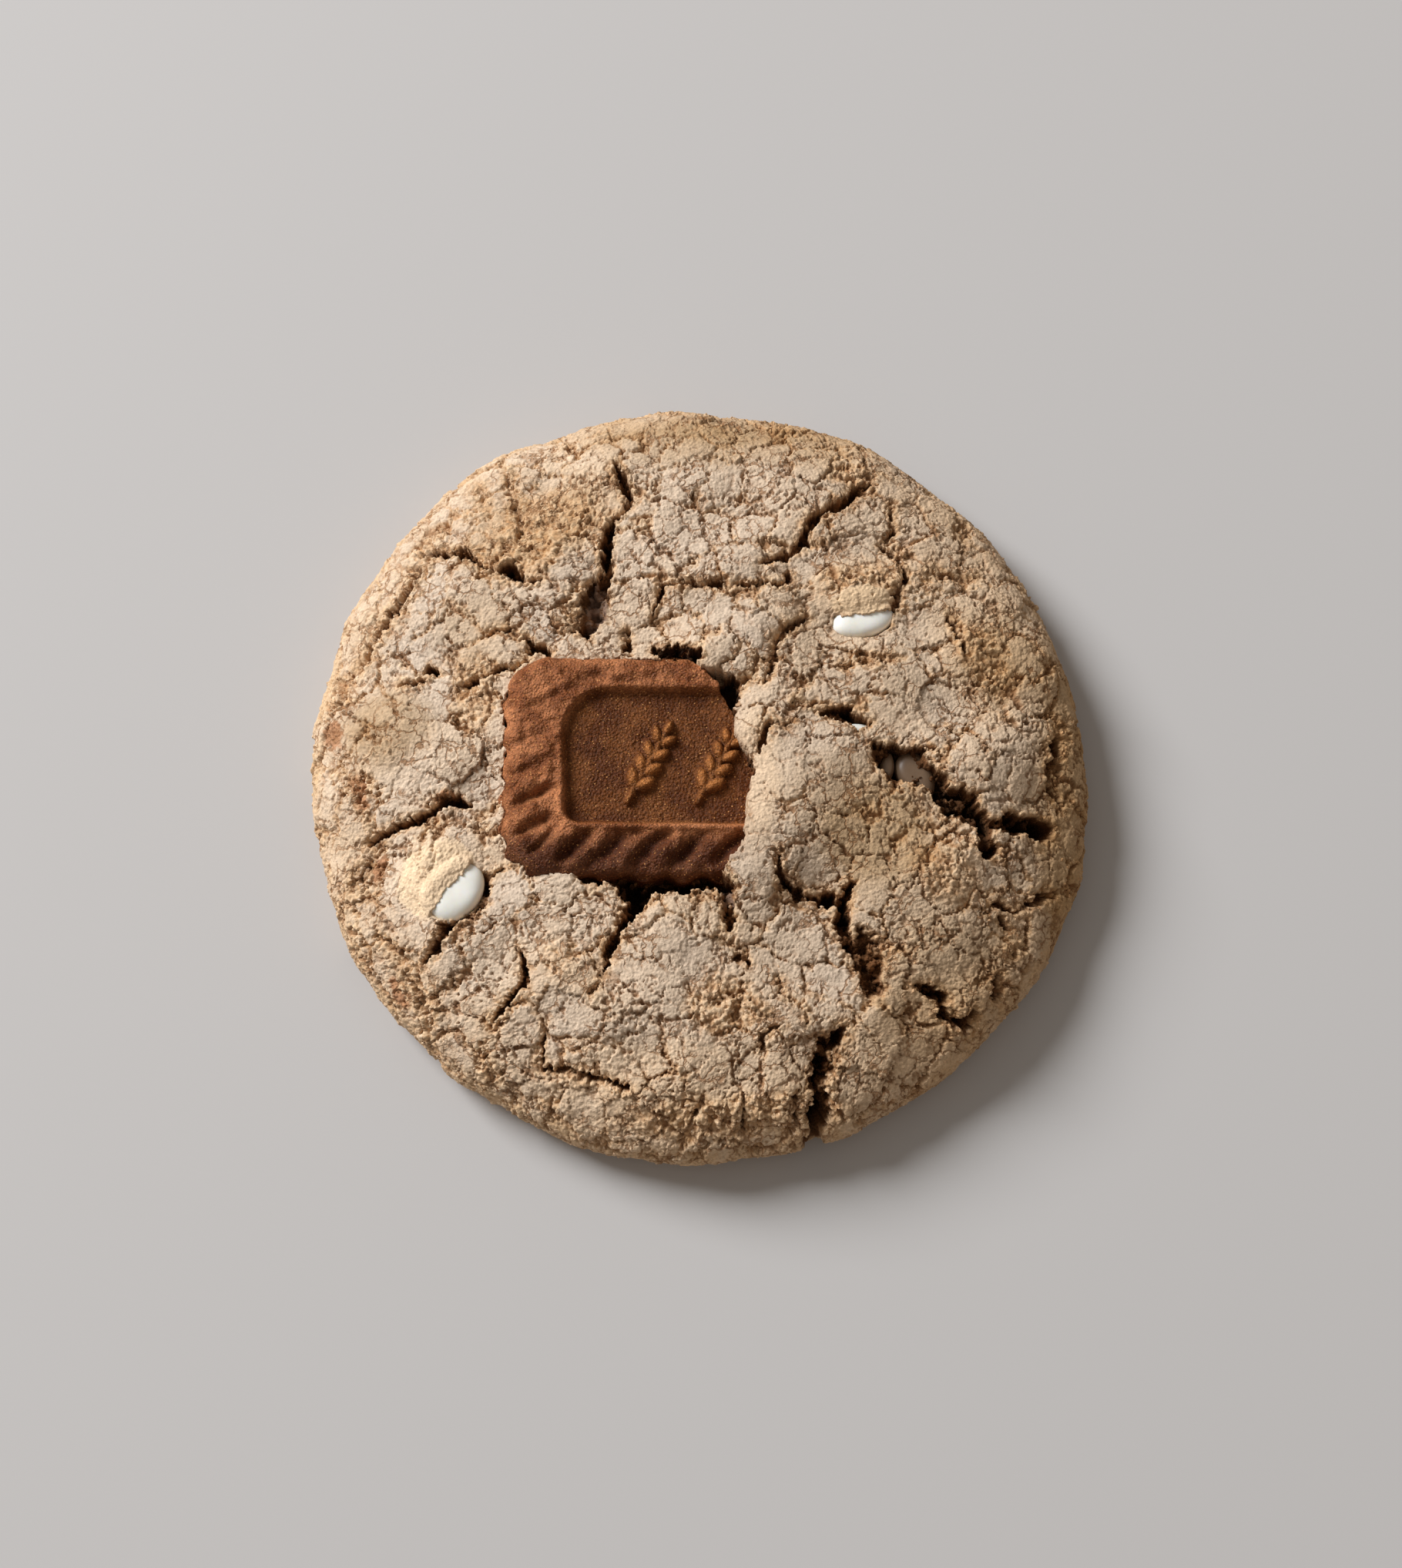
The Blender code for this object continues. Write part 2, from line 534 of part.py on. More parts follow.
def build():
    """Builds the cookie, the biscuit in its bed and the chips in their pockets."""
    for old in list(bpy.data.objects):
        bpy.data.objects.remove(old)
    crust = food_material("crust", (0.60, 0.43, 0.28), 0.9)
    caramel = food_material("caramel biscuit", (0.22, 0.08, 0.03), 0.6)
    white = food_material("white chip", (0.78, 0.75, 0.66), 0.35)

    cookie = make_cookie(crust)
    random = np.random.default_rng(CREVICE_SEED)
    for name, (width, depth, route) in CREVICES.items():
        cut_from(cookie, make_crevice_cutter(name, width, depth, route, random))
    cut_from(cookie, make_window_cutter())
    cut_from(cookie, make_bed_cutter())

    biscuit = make_biscuit(caramel)
    make_ears(biscuit)
    cut_from(biscuit, make_break_cutter())
    for name, (centre, size, turn, detail) in CHIPS.items():
        make_chip(name, centre, size, turn, detail, 0.0, white)
        cut_from(cookie, make_chip(name + " bed", centre, size, turn, 2, 2.0 * GAP, None))


build()
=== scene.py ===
# %% [markdown]
# # A cookie butter cookie
# A thick round cookie about as wide as a hand. Its crust has dried, risen and cracked into
# chalky plates, a piece of caramelised biscuit is baked into its top, and white chips show
# in the crust and down in the crevices. This lesson dresses the measured solids of the part:
# each step says what the real thing is, how it could be made, and what is done here.

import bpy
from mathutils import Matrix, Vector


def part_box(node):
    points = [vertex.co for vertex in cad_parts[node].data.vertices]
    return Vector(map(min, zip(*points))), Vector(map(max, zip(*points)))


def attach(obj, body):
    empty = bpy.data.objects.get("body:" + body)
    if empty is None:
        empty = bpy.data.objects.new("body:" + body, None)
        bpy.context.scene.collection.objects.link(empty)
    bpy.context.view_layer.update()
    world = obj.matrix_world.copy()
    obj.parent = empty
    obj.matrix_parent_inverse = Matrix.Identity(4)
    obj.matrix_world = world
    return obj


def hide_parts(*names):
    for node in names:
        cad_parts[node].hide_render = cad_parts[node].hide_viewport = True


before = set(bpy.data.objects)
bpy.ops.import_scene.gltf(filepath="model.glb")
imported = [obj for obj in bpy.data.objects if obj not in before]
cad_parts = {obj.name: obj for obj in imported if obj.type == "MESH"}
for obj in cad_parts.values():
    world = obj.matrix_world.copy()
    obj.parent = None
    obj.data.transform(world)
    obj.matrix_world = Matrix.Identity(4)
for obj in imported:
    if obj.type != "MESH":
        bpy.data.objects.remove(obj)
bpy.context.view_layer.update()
print("nodes:", sorted(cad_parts))

# %% Tools
import itertools
import math
from types import SimpleNamespace

import bmesh
import bpy
import numpy as np
from mathutils import Vector

MM = 0.001

# %% [markdown]
# ## Noise in space
# Baked dough is uneven at every scale, from lumps of a centimetre down to grains of sugar.
# Blender's Displace modifier could push one noise after another into a mesh, but here each
# scale has to know about the cracks and the plates, so the noise is worked out in numpy for
# all vertices at once. Two kinds are enough: smooth waves, and cells, which give both the
# plates of a cracked crust and round crumbs. Both are three-dimensional, so they don't
# stretch down the side of the cookie. All lengths here are millimetres.

# %% Smooth waves
LATTICE = 4096
lattice_random = np.random.default_rng(3)
GRADIENTS = lattice_random.normal(size=(LATTICE, 3))
GRADIENTS /= np.linalg.norm(GRADIENTS, axis=1)[:, None]
JITTER = lattice_random.random((LATTICE, 3))
SHADES = lattice_random.random(LATTICE)
HASH = (73856093, 19349663, 83492791, 2654435761)
WAVE_GAIN = 1.6


def lattice_pick(cell, seed):
    """A random but repeatable number for each cell of space."""
    mixed = cell[:, 0] * HASH[0] ^ cell[:, 1] * HASH[1] ^ cell[:, 2] * HASH[2] ^ seed * HASH[3]
    return (mixed ^ (mixed >> 15)) % LATTICE


def waves(points, length, seed):
    """Smooth noise from about -1 to 1 with features of the given length."""
    place = points / length
    cell = np.floor(place).astype(np.int64)
    part = place - cell
    ease = part**3 * (part * (part * 6.0 - 15.0) + 10.0)
    total = np.zeros(len(points))
    for corner in itertools.product((0, 1), repeat=3):
        gradient = GRADIENTS[lattice_pick(cell + corner, seed)]
        reach = np.einsum("ij,ij->i", gradient, part - corner)
        total += reach * np.prod(np.where(corner, ease, 1.0 - ease), axis=1)
    return WAVE_GAIN * total


def fractal(points, length, octaves, seed, gain=0.5):
    """Waves of the given length with finer and weaker ones on top."""
    total = np.zeros(len(points))
    for octave in range(octaves):
        total += gain**octave * waves(points, length / 2.0**octave, seed + 17 * octave)
    return total


print("smooth waves from", LATTICE, "random directions")

# %% Cells
def cells(points, size, seed):
    """Distances to the nearest two cell middles, and the nearest one's shade and place."""
    place = points / size
    cell = np.floor(place).astype(np.int64)
    nearest = np.full(len(points), 9.0)
    following = nearest.copy()
    shade = np.zeros(len(points))
    middle = place.copy()
    for step in itertools.product((-1, 0, 1), repeat=3):
        pick = lattice_pick(cell + step, seed)
        candidate = cell + step + JITTER[pick]
        distance = np.sqrt(np.einsum("ij,ij->i", candidate - place, candidate - place))
        closer = distance < nearest
        following = np.where(closer, nearest, np.minimum(following, distance))
        nearest = np.where(closer, distance, nearest)
        shade[closer] = SHADES[pick[closer]]
        middle[closer] = candidate[closer]
    return nearest * size, following * size, shade, middle * size


def smooth(value, low, high):
    """0 below low, 1 above high and an even slope between."""
    share = np.clip((value - low) / (high - low), 0.0, 1.0)
    return share * share * (3.0 - 2.0 * share)


print("cells with middles from", LATTICE, "random places")

# %% [markdown]
# ## The form of the cookie
# A portion of soft dough sinks into a low dome with a full, round side and a flat base. The
# outline isn't a true circle: a few slow waves round it give each side its own radius. These
# are the part's own measures, repeated so that the fine surface lies on the solid.

# %% Form of the cookie
low_corner, high_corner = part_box("cookie")
RADIUS = 54.0
HEIGHT = 15.0
WIDEST = 4.2
BASE_RADIUS = 51.6
FULLNESS = 4.6
SHIFT = (-0.2, 0.32)
OUTLINE_WAVES = (
    # waves round the outline, share of the radius, direction of a crest in degrees
    (2, 0.0068, -43.0),
    (3, 0.0040, 2.0),
    (4, 0.0020, -26.0),
    (5, 0.0051, -14.0),
    (6, 0.0021, -3.0),
)
SWELLS = {
    # centre, radii, height, turn in degrees
    "crust over the tucked biscuit end": ((14.0, -3.5), (11.0, 13.0), 2.4, 0.0),
    "lip beside the biscuit, upper": ((8.0, 5.5), (5.5, 6.5), 1.3, 0.0),
    "lip beside the biscuit, lower": ((7.5, -13.5), (6.5, 6.0), 1.7, 0.0),
    "plate over the biscuit corner": ((4.6, 15.0), (8.0, 5.5), 2.1, 10.0),
    "dough over the left chip": ((-37.0, -15.5), (5.5, 4.5), 1.2, 50.0),
    "dough close round the left chip": ((-35.8, -16.2), (4.8, 3.6), 0.6, 50.0),
    "dough over the right chip": ((22.0, 24.0), (6.0, 4.2), 1.5, 12.0),
    "dough close round the right chip": ((22.4, 22.4), (4.6, 2.6), 0.7, 12.0),
    "crust edge above the gash": ((37.0, -2.0), (10.0, 5.0), 1.2, -25.0),
    "plate below the biscuit": ((-2.0, -23.5), (7.0, 5.0), 0.8, 0.0),
    "plate at the top": ((-2.0, 30.0), (11.0, 8.0), 0.8, 0.0),
    "plate at the left": ((-38.0, 2.0), (8.0, 9.0), 0.7, 0.0),
}
SWELL_FALL = 2.8
LUMP_SEED = 11
LUMP_COUNT = 40
LUMP_LENGTHS = (9.0, 26.0)
LUMP_HEIGHT = 0.42


def outline_scale(angle):
    """Share of the plain radius at which the outline lies in each direction."""
    scale = np.ones_like(angle)
    for count, share, crest in OUTLINE_WAVES:
        scale += share * np.cos(count * (angle - math.radians(crest)))
    return scale


def lumps(points):
    """Slow lumps of the dough, from the same seeded waves as the solid's."""
    random = np.random.default_rng(LUMP_SEED)
    total = np.zeros(len(points))
    for _ in range(LUMP_COUNT):
        direction = random.normal(size=3)
        direction /= np.linalg.norm(direction)
        length = random.uniform(*LUMP_LENGTHS)
        phase = random.uniform(0.0, 2.0 * math.pi)
        total += np.sin(points @ direction * (2.0 * math.pi / length) + phase)
    return LUMP_HEIGHT * total * math.sqrt(2.0 / LUMP_COUNT)


def turned(x, y, centre, radii, turn):
    """Distance from the middle of a turned ellipse, as a share of its radii."""
    c, s = math.cos(math.radians(turn)), math.sin(math.radians(turn))
    dx, dy = x - centre[0], y - centre[1]
    return np.hypot((c * dx + s * dy) / radii[0], (c * dy - s * dx) / radii[1])


def swells(x, y):
    """Height of the raised places of the crust."""
    total = np.zeros_like(x)
    for centre, radii, height, turn in SWELLS.values():
        total += height * np.exp(-turned(x, y, centre, radii, turn) ** SWELL_FALL)
    return total


print("cookie box in mm:", [round(value / MM, 1) for value in (*low_corner, *high_corner)])

# %% [markdown]
# ## A fine, even skin
# A round form can be meshed as a UV sphere is, but its triangles crowd at the middle. Rings
# whose counts grow by six, as in a honeycomb, keep every triangle about the same size from
# the middle to the side. Past the rim the count stays, and the underside, which has less
# detail, takes coarser rings that close at its middle.

# %% Rings of triangles
STEP = 0.155
UNDERSIDE_STEP = 0.5


def side_profile():
    """Radius and height along the cookie's side, from the top's middle to the base."""
    turn = 0.5 * math.pi * np.linspace(0.0, 1.0, 600) ** 2
    upper_r = RADIUS * np.sin(turn) ** (2.0 / FULLNESS)
    upper_z = WIDEST + (HEIGHT - WIDEST) * np.cos(turn)
    drop = np.linspace(0.0, 1.0, 80)[1:]
    lower_r = BASE_RADIUS + (RADIUS - BASE_RADIUS) * np.sqrt(1.0 - drop**2)
    return np.append(upper_r, lower_r), np.append(upper_z, WIDEST * (1.0 - drop))


def ring_faces(inner, outer):
    """Triangles between two rings of vertex numbers that both start at angle 0."""
    faces = []
    i = j = 0
    while i < len(inner) or j < len(outer):
        a, b = inner[i % len(inner)], outer[j % len(outer)]
        if j < len(outer) and (j + 1) * len(inner) <= (i + 1) * len(outer):
            faces.append((a, b, outer[(j + 1) % len(outer)]))
            j += 1
        else:
            faces.append((a, b, inner[(i + 1) % len(inner)]))
            i += 1
    return [face for face in faces if len(set(face)) == 3]


def plain_rings():
    """Points, outward directions, faces and the first face of the underside."""
    radii, heights = side_profile()
    along = np.append(0.0, np.cumsum(np.hypot(np.diff(radii), np.diff(heights))))
    slope_r, slope_z = np.gradient(radii, along), np.gradient(heights, along)
    total = round(along[-1] / STEP)
    widest = 6 * round(2.0 * math.pi * RADIUS / STEP / 6.0)
    specs = [(0.0, HEIGHT, 0.0, 1.0, 1)]
    for ring in range(1, total + 1):
        place = along[-1] * ring / total
        radius, height = np.interp(place, along, radii), np.interp(place, along, heights)
        out, up = -np.interp(place, along, slope_z), np.interp(place, along, slope_r)
        specs.append((radius, height, out, up, min(6 * ring, widest)))
    side_rings = len(specs)
    below = round(BASE_RADIUS / UNDERSIDE_STEP)
    for ring in range(below - 1, -1, -1):
        specs.append((BASE_RADIUS * ring / below, 0.0, 0.0, -1.0, max(1, 6 * ring)))
    points, leans, faces, rings = [], [], [], []
    start = underside_face = 0
    for number, (radius, height, out, up, count) in enumerate(specs):
        angle = 2.0 * math.pi * np.arange(count) / count
        scale = radius * outline_scale(angle)
        points.append(np.column_stack([scale * np.cos(angle), scale * np.sin(angle),
                                       np.full(count, height)]))
        leans.append(np.column_stack([out * np.cos(angle), out * np.sin(angle),
                                      np.full(count, up)]))
        rings.append(range(start, start + count))
        start += count
        if number == side_rings:
            underside_face = len(faces)
        if number:
            faces += ring_faces(rings[-2], rings[-1])
    return np.concatenate(points), np.concatenate(leans), np.array(faces), underside_face


plain, lean, skin_faces, underside_from = plain_rings()
print("skin:", len(plain), "points,", len(skin_faces), "triangles")

# %% [markdown]
# ## Crevices
# The wide cracks are this cookie's own face: a gash on the right, a long crack down to the
# rim below it, a dark crescent under the biscuit. A pattern can't place them, so each one is
# a listed route over the crust, with its width at each point. The depth follows from
# the width, as it does where a stiff skin tears over a soft inside. Distances to the routes
# then carve the skin, and a warp of the plane first makes every edge ragged.

# %% Crevices at the top
TOP_ROUTES = {
    # share of the full depth, then x, y and width at each point
    "top": (1.0, (-11.7, 43.2, 0.6), (-11.2, 41.5, 1.3), (-9.8, 37.6, 1.3), (-10.2, 35.6, 0.5),
            (-12.0, 34.6, 1.0), (-12.8, 31.8, 1.6), (-13.4, 28.8, 1.3), (-12.6, 26.6, 0.8)),
    "top pocket": (0.65, (-13.4, 25.8, 1.8), (-14.4, 23.5, 3.4), (-14.8, 20.8, 3.6),
                   (-15.8, 17.8, 1.8)),
    "top pocket edge": (0.8, (-14.6, 25.2, 0.6), (-16.2, 23.0, 1.0), (-16.8, 20.4, 1.0),
                        (-17.0, 18.2, 0.5)),
    "upper right": (1.0, (23.6, 40.9, 0.7), (22.6, 40.0, 1.5), (20.9, 38.4, 1.0),
                    (19.3, 36.8, 1.6), (17.6, 35.7, 1.0), (15.9, 34.8, 1.9),
                    (14.8, 32.6, 1.1), (14.2, 31.3, 1.5), (12.6, 29.9, 1.0),
                    (11.0, 29.0, 1.6), (9.6, 28.2, 0.8), (8.2, 27.7, 0.5)),
    "upper right branch": (0.9, (12.4, 26.2, 1.2), (11.5, 25.2, 0.8), (10.2, 24.3, 0.4)),
    "right of top": (0.9, (27.0, 37.4, 0.6), (26.7, 33.4, 0.9), (25.6, 30.9, 1.0),
                     (26.8, 29.5, 0.8), (27.9, 28.5, 0.7), (28.6, 26.4, 1.2),
                     (27.2, 24.2, 0.9), (26.9, 21.6, 1.0), (26.2, 19.4, 0.5)),
    "top right rim": (0.7, (19.2, 42.3, 0.8), (21.5, 41.0, 0.5)),
    "across the top": (0.8, (-6.5, 21.2, 0.4), (-5.7, 23.4, 0.8), (-5.2, 24.5, 1.2),
                       (-3.8, 24.9, 0.7), (0.0, 25.0, 0.5), (2.8, 24.6, 0.7),
                       (6.0, 24.5, 0.4), (10.1, 24.7, 0.5)),
    "biscuit top slit": (0.8, (-10.0, 18.6, 0.9), (-10.0, 17.0, 0.7), (-10.0, 15.2, 0.8)),
    "biscuit top gap": (1.2, (-6.2, 15.0, 1.0), (-4.2, 14.9, 1.7), (-2.0, 14.8, 2.0),
                        (-0.6, 13.9, 1.4)),
}
print("crevices at the top:", len(TOP_ROUTES))

# %% Crevices at the left
LEFT_ROUTES = {
    "upper left": (1.0, (-39.5, 30.2, 0.5), (-37.0, 30.8, 0.9), (-35.2, 30.9, 1.2),
                   (-33.6, 30.5, 1.9), (-32.2, 29.4, 1.2), (-30.6, 28.3, 0.7),
                   (-28.4, 27.2, 0.7), (-26.6, 26.9, 2.0), (-25.2, 26.5, 1.8),
                   (-24.2, 25.7, 0.5), (-22.6, 25.2, 0.6)),
    "upper left branch": (0.3, (-27.3, 42.3, 0.6), (-25.8, 38.0, 0.9), (-24.8, 34.5, 0.9),
                          (-24.0, 32.6, 0.5), (-23.5, 30.0, 0.4)),
    "upper left twig": (0.25, (-31.2, 41.0, 0.6), (-30.4, 38.0, 0.7), (-30.0, 36.5, 0.3)),
    "left rim": (0.5, (-39.7, 28.7, 1.1), (-40.3, 26.2, 1.2), (-41.6, 24.0, 0.8),
                 (-42.8, 22.6, 1.3), (-44.6, 19.4, 1.0), (-47.0, 15.0, 0.7), (-50.0, 9.7, 0.6)),
    "above the biscuit": (0.9, (-29.4, 17.8, 0.5), (-28.0, 18.4, 0.9), (-26.6, 18.3, 0.9),
                          (-24.6, 17.8, 0.5), (-23.6, 16.8, 0.7), (-22.7, 15.6, 1.6),
                          (-20.9, 15.1, 0.9)),
    "left of the biscuit": (0.8, (-33.5, 10.6, 0.5), (-31.0, 11.0, 0.8), (-28.6, 12.5, 0.8),
                            (-25.8, 12.8, 0.7), (-23.6, 14.4, 0.5)),
    "spot": (0.9, (-37.4, 12.9, 1.2), (-36.4, 12.7, 0.8)),
    "left slit": (0.8, (-41.3, 10.9, 0.9), (-39.2, 11.2, 0.6), (-38.0, 11.4, 0.4)),
    "left": (1.0, (-45.2, -11.2, 0.8), (-43.4, -10.2, 1.3), (-41.2, -9.0, 1.3),
             (-38.6, -8.1, 1.9), (-36.9, -7.0, 1.0), (-35.6, -6.2, 1.0), (-33.6, -5.5, 1.7),
             (-31.2, -6.1, 0.8)),
    "left furrow": (0.4, (-30.0, -8.0, 0.8), (-26.2, -5.0, 0.4)),
    "left smear": (0.4, (-46.4, -2.0, 0.5), (-46.8, -4.2, 0.8), (-46.2, -6.4, 0.5)),
    "left pit": (0.4, (-45.8, -14.3, 0.9), (-46.9, -15.8, 1.4), (-47.7, -17.3, 0.8)),
    "below the left chip": (1.0, (-28.9, -16.2, 0.5), (-29.0, -17.6, 0.9), (-29.4, -19.8, 0.9),
                            (-31.2, -22.2, 0.6), (-33.6, -23.2, 1.2), (-34.9, -24.4, 1.9),
                            (-35.3, -26.2, 1.3), (-36.3, -27.6, 0.6), (-37.4, -28.8, 0.4)),
    "right of the left chip": (0.7, (-29.0, -16.4, 0.5), (-26.5, -15.3, 0.4)),
    "lower left rim": (0.4, (-43.8, -24.0, 0.6), (-41.2, -26.0, 0.8), (-39.8, -27.7, 0.9),
                       (-39.6, -30.0, 0.8), (-38.0, -32.7, 0.9), (-36.8, -35.0, 0.7),
                       (-36.3, -38.5, 0.5)),
}
print("crevices at the left:", len(LEFT_ROUTES))

# %% Crevices at the right
RIGHT_ROUTES = {
    "right slit": (0.8, (34.5, 21.4, 0.5), (35.1, 19.0, 0.7), (36.2, 17.0, 0.6), (36.7, 15.6, 0.3)),
    "right slit above": (0.5, (31.8, 27.1, 0.3), (34.6, 27.4, 0.6), (38.2, 27.0, 0.3)),
    "below the right chip": (0.4, (19.6, 13.5, 0.5), (23.6, 14.1, 0.9), (27.3, 14.4, 0.4)),
    "plate furrow": (0.5, (14.5, 19.9, 0.7), (11.8, 18.6, 1.1), (10.5, 16.3, 1.0),
                     (10.3, 14.3, 0.9), (9.2, 12.0, 0.9), (8.6, 10.6, 0.6)),
    "under the plate": (0.3, (5.2, 10.7, 0.9), (8.0, 10.9, 0.6)),
    "hole": (0.9, (16.7, 6.2, 0.8), (18.4, 6.4, 2.0), (20.2, 6.2, 2.9), (21.6, 5.2, 2.2),
             (22.6, 5.0, 1.2)),
    "left of the hole": (0.6, (12.8, 7.9, 0.4), (14.0, 7.6, 0.8), (15.4, 7.2, 0.4)),
    "beside the lip": (0.6, (12.5, 4.5, 0.4), (10.6, 4.2, 0.5), (8.9, 3.7, 1.2), (8.6, 1.8, 1.0),
                       (8.3, 0.0, 0.5)),
    "right rim": (0.5, (49.8, 5.4, 1.0), (49.3, 3.2, 2.0), (48.8, 1.0, 1.3), (48.0, -1.0, 1.4),
                  (48.0, -3.0, 1.0), (50.0, -6.0, 0.5)),
    "gash": (1.0, (24.4, 0.6, 2.2), (26.2, -0.6, 4.2), (28.6, -0.9, 5.4), (30.6, -2.2, 5.2),
             (32.6, -4.4, 3.2), (34.6, -5.9, 4.6), (36.6, -7.2, 3.6), (38.6, -9.4, 2.6),
             (39.0, -11.8, 3.0), (39.4, -13.4, 1.4)),
    "gash end": (1.0, (40.4, -9.2, 1.6), (42.4, -8.7, 3.0), (44.6, -8.9, 3.2), (46.6, -9.3, 3.0),
                 (47.8, -9.6, 1.2)),
    "right of the gash": (0.7, (39.9, -19.6, 1.1), (41.6, -20.4, 0.8), (43.6, -20.2, 0.9),
                          (45.4, -19.2, 1.0), (47.2, -18.2, 1.5), (48.2, -18.0, 0.6)),
    "right spots": (0.7, (40.9, -21.8, 1.0), (42.0, -23.0, 0.7)),
    "right dot": (0.7, (42.3, -25.9, 0.9), (42.4, -26.3, 0.6)),
    "right rim slit": (0.7, (40.3, -29.6, 0.8), (40.5, -32.4, 0.8)),
    "right low": (1.0, (29.3, -31.3, 0.8), (30.6, -31.8, 1.9), (32.2, -33.0, 1.8),
                  (33.0, -34.8, 1.2), (34.8, -35.9, 1.2), (36.2, -36.2, 1.4),
                  (37.4, -34.6, 0.9)),
}
print("crevices at the right:", len(RIGHT_ROUTES))

# %% Crevices below the biscuit
LOWER_ROUTES = {
    "under the biscuit": (1.1, (-16.0, -16.5, 0.9), (-12.0, -16.7, 2.0), (-8.5, -17.8, 4.2),
                          (-5.0, -17.4, 3.6), (-1.0, -17.0, 3.2), (2.5, -16.6, 2.0),
                          (3.4, -18.4, 1.8)),
    "below the lip": (0.8, (3.2, -18.2, 1.8), (3.8, -20.6, 1.8), (4.2, -22.4, 1.2),
                      (3.9, -23.8, 1.0)),
    "lower left": (1.0, (-8.6, -19.0, 2.6), (-9.6, -21.2, 2.2), (-10.4, -22.8, 1.2),
                   (-11.0, -24.4, 0.8), (-12.0, -26.2, 1.8), (-12.8, -28.8, 0.8),
                   (-13.6, -31.0, 0.6), (-14.2, -32.6, 0.4)),
    "lower left branch": (0.9, (-24.2, -26.1, 0.4), (-23.8, -28.5, 1.1), (-23.4, -30.6, 1.2),
                          (-24.8, -32.3, 0.7), (-26.3, -33.5, 0.9), (-28.0, -35.2, 0.5)),
    "lower right": (1.0, (10.2, -13.4, 0.4), (10.6, -15.6, 0.7), (11.4, -17.6, 1.6),
                    (13.2, -18.8, 1.3), (15.2, -19.4, 0.8), (16.8, -19.6, 2.4),
                    (17.4, -20.4, 1.0)),
    "lower right drop": (1.0, (19.9, -17.9, 1.6), (19.4, -20.5, 2.4), (19.3, -23.0, 2.4),
                         (20.0, -25.4, 1.4), (20.4, -27.4, 1.0)),
    "lower right hollow": (0.45, (22.0, -25.4, 3.0), (22.9, -28.4, 4.6), (23.4, -31.0, 3.8),
                           (23.9, -32.6, 1.2)),
    "lower right rim": (1.0, (19.4, -36.9, 0.8), (18.0, -38.3, 2.0), (16.4, -39.2, 1.4),
                        (16.2, -41.4, 2.6), (15.9, -44.0, 2.2), (16.1, -45.7, 1.4),
                        (15.9, -47.6, 2.8), (15.6, -50.0, 2.6), (15.5, -53.5, 2.0)),
    "dots": (0.8, (5.0, -27.4, 0.9), (6.4, -28.0, 1.0)),
    "low crack": (0.7, (10.2, -30.4, 0.4), (11.4, -32.6, 0.6), (13.8, -34.3, 0.6), (14.5, -36.4, 0.3)),
    "low slit": (0.5, (6.0, -35.2, 0.35), (9.6, -35.2, 0.35)),
    "low hook": (0.6, (8.2, -39.5, 0.8), (8.6, -38.4, 0.7), (10.6, -37.2, 0.5)),
    "rim slit a": (0.6, (6.0, -46.6, 0.5), (6.0, -50.0, 0.7)),
    "rim slit b": (0.6, (0.0, -46.3, 0.7), (-1.5, -49.6, 0.6)),
    "rim slit c": (0.6, (12.7, -45.6, 0.7), (12.7, -48.8, 0.7)),
    "bottom": (0.7, (-20.4, -35.9, 0.4), (-21.5, -39.5, 0.8), (-21.3, -41.8, 0.9),
               (-18.2, -42.7, 0.8), (-16.0, -43.0, 1.1), (-13.5, -43.3, 0.9),
               (-10.0, -44.9, 0.8), (-9.0, -45.3, 0.4)),
    "bottom twig": (0.5, (-29.3, -40.2, 0.6), (-27.8, -43.0, 0.5)),
}
CREVICES = TOP_ROUTES | LEFT_ROUTES | RIGHT_ROUTES | LOWER_ROUTES
route_points = sum(len(route) - 1 for route in CREVICES.values())
print("crevices in all:", len(CREVICES), "with", route_points, "points")

# %% Carving along the routes
REACH = 5.0
DEPTH_AT_NONE = 1.0
DEPTH_PER_WIDTH = 1.9
DEEPEST = 6.8


def to_segment(x, y, start, end):
    """How far along a segment each point lies, from 0 to 1, and how far away from it."""
    run_x, run_y = end[0] - start[0], end[1] - start[1]
    dx, dy = x - start[0], y - start[1]
    along = np.clip((dx * run_x + dy * run_y) / (run_x**2 + run_y**2), 0.0, 1.0)
    return along, np.hypot(dx - along * run_x, dy - along * run_y)


def carve(x, y, waver):
    """Depth of the crevices, and the distance past their nearest edge, at each point."""
    depth = np.zeros_like(x)
    beyond = np.full_like(x, REACH)
    for share, *route in CREVICES.values():
        for (ax, ay, aw), (bx, by, bw) in zip(route, route[1:]):
            near = np.flatnonzero((x > min(ax, bx) - REACH) & (x < max(ax, bx) + REACH)
                                  & (y > min(ay, by) - REACH) & (y < max(ay, by) + REACH))
            along, away = to_segment(x[near], y[near], (ax, ay), (bx, by))
            half = 0.5 * (aw + (bw - aw) * along) * waver[near]
            full = share * np.minimum(DEPTH_AT_NONE + 2.0 * DEPTH_PER_WIDTH * half, DEEPEST)
            cut = full * np.sqrt(np.clip(1.0 - (away / half) ** 2, 0.0, 1.0))
            depth[near] = np.maximum(depth[near], cut)
            beyond[near] = np.minimum(beyond[near], away - half)
    return depth, beyond


print("deepest crevice in mm:", round(DEEPEST * max(route[0] for route in CREVICES.values()), 2))

# %% [markdown]
# ## Where the biscuit and the chips lie
# The crust rose round the biscuit and over its right end, so the skin has a bed there: it
# drops away inside the biscuit's outline, up to the lip where the crust laps over. The white
# chips have smaller beds. Here and there in a crevice the inside of the dough is smooth and
# moist, a greyish paste of the same spread that gives the cookie its name.

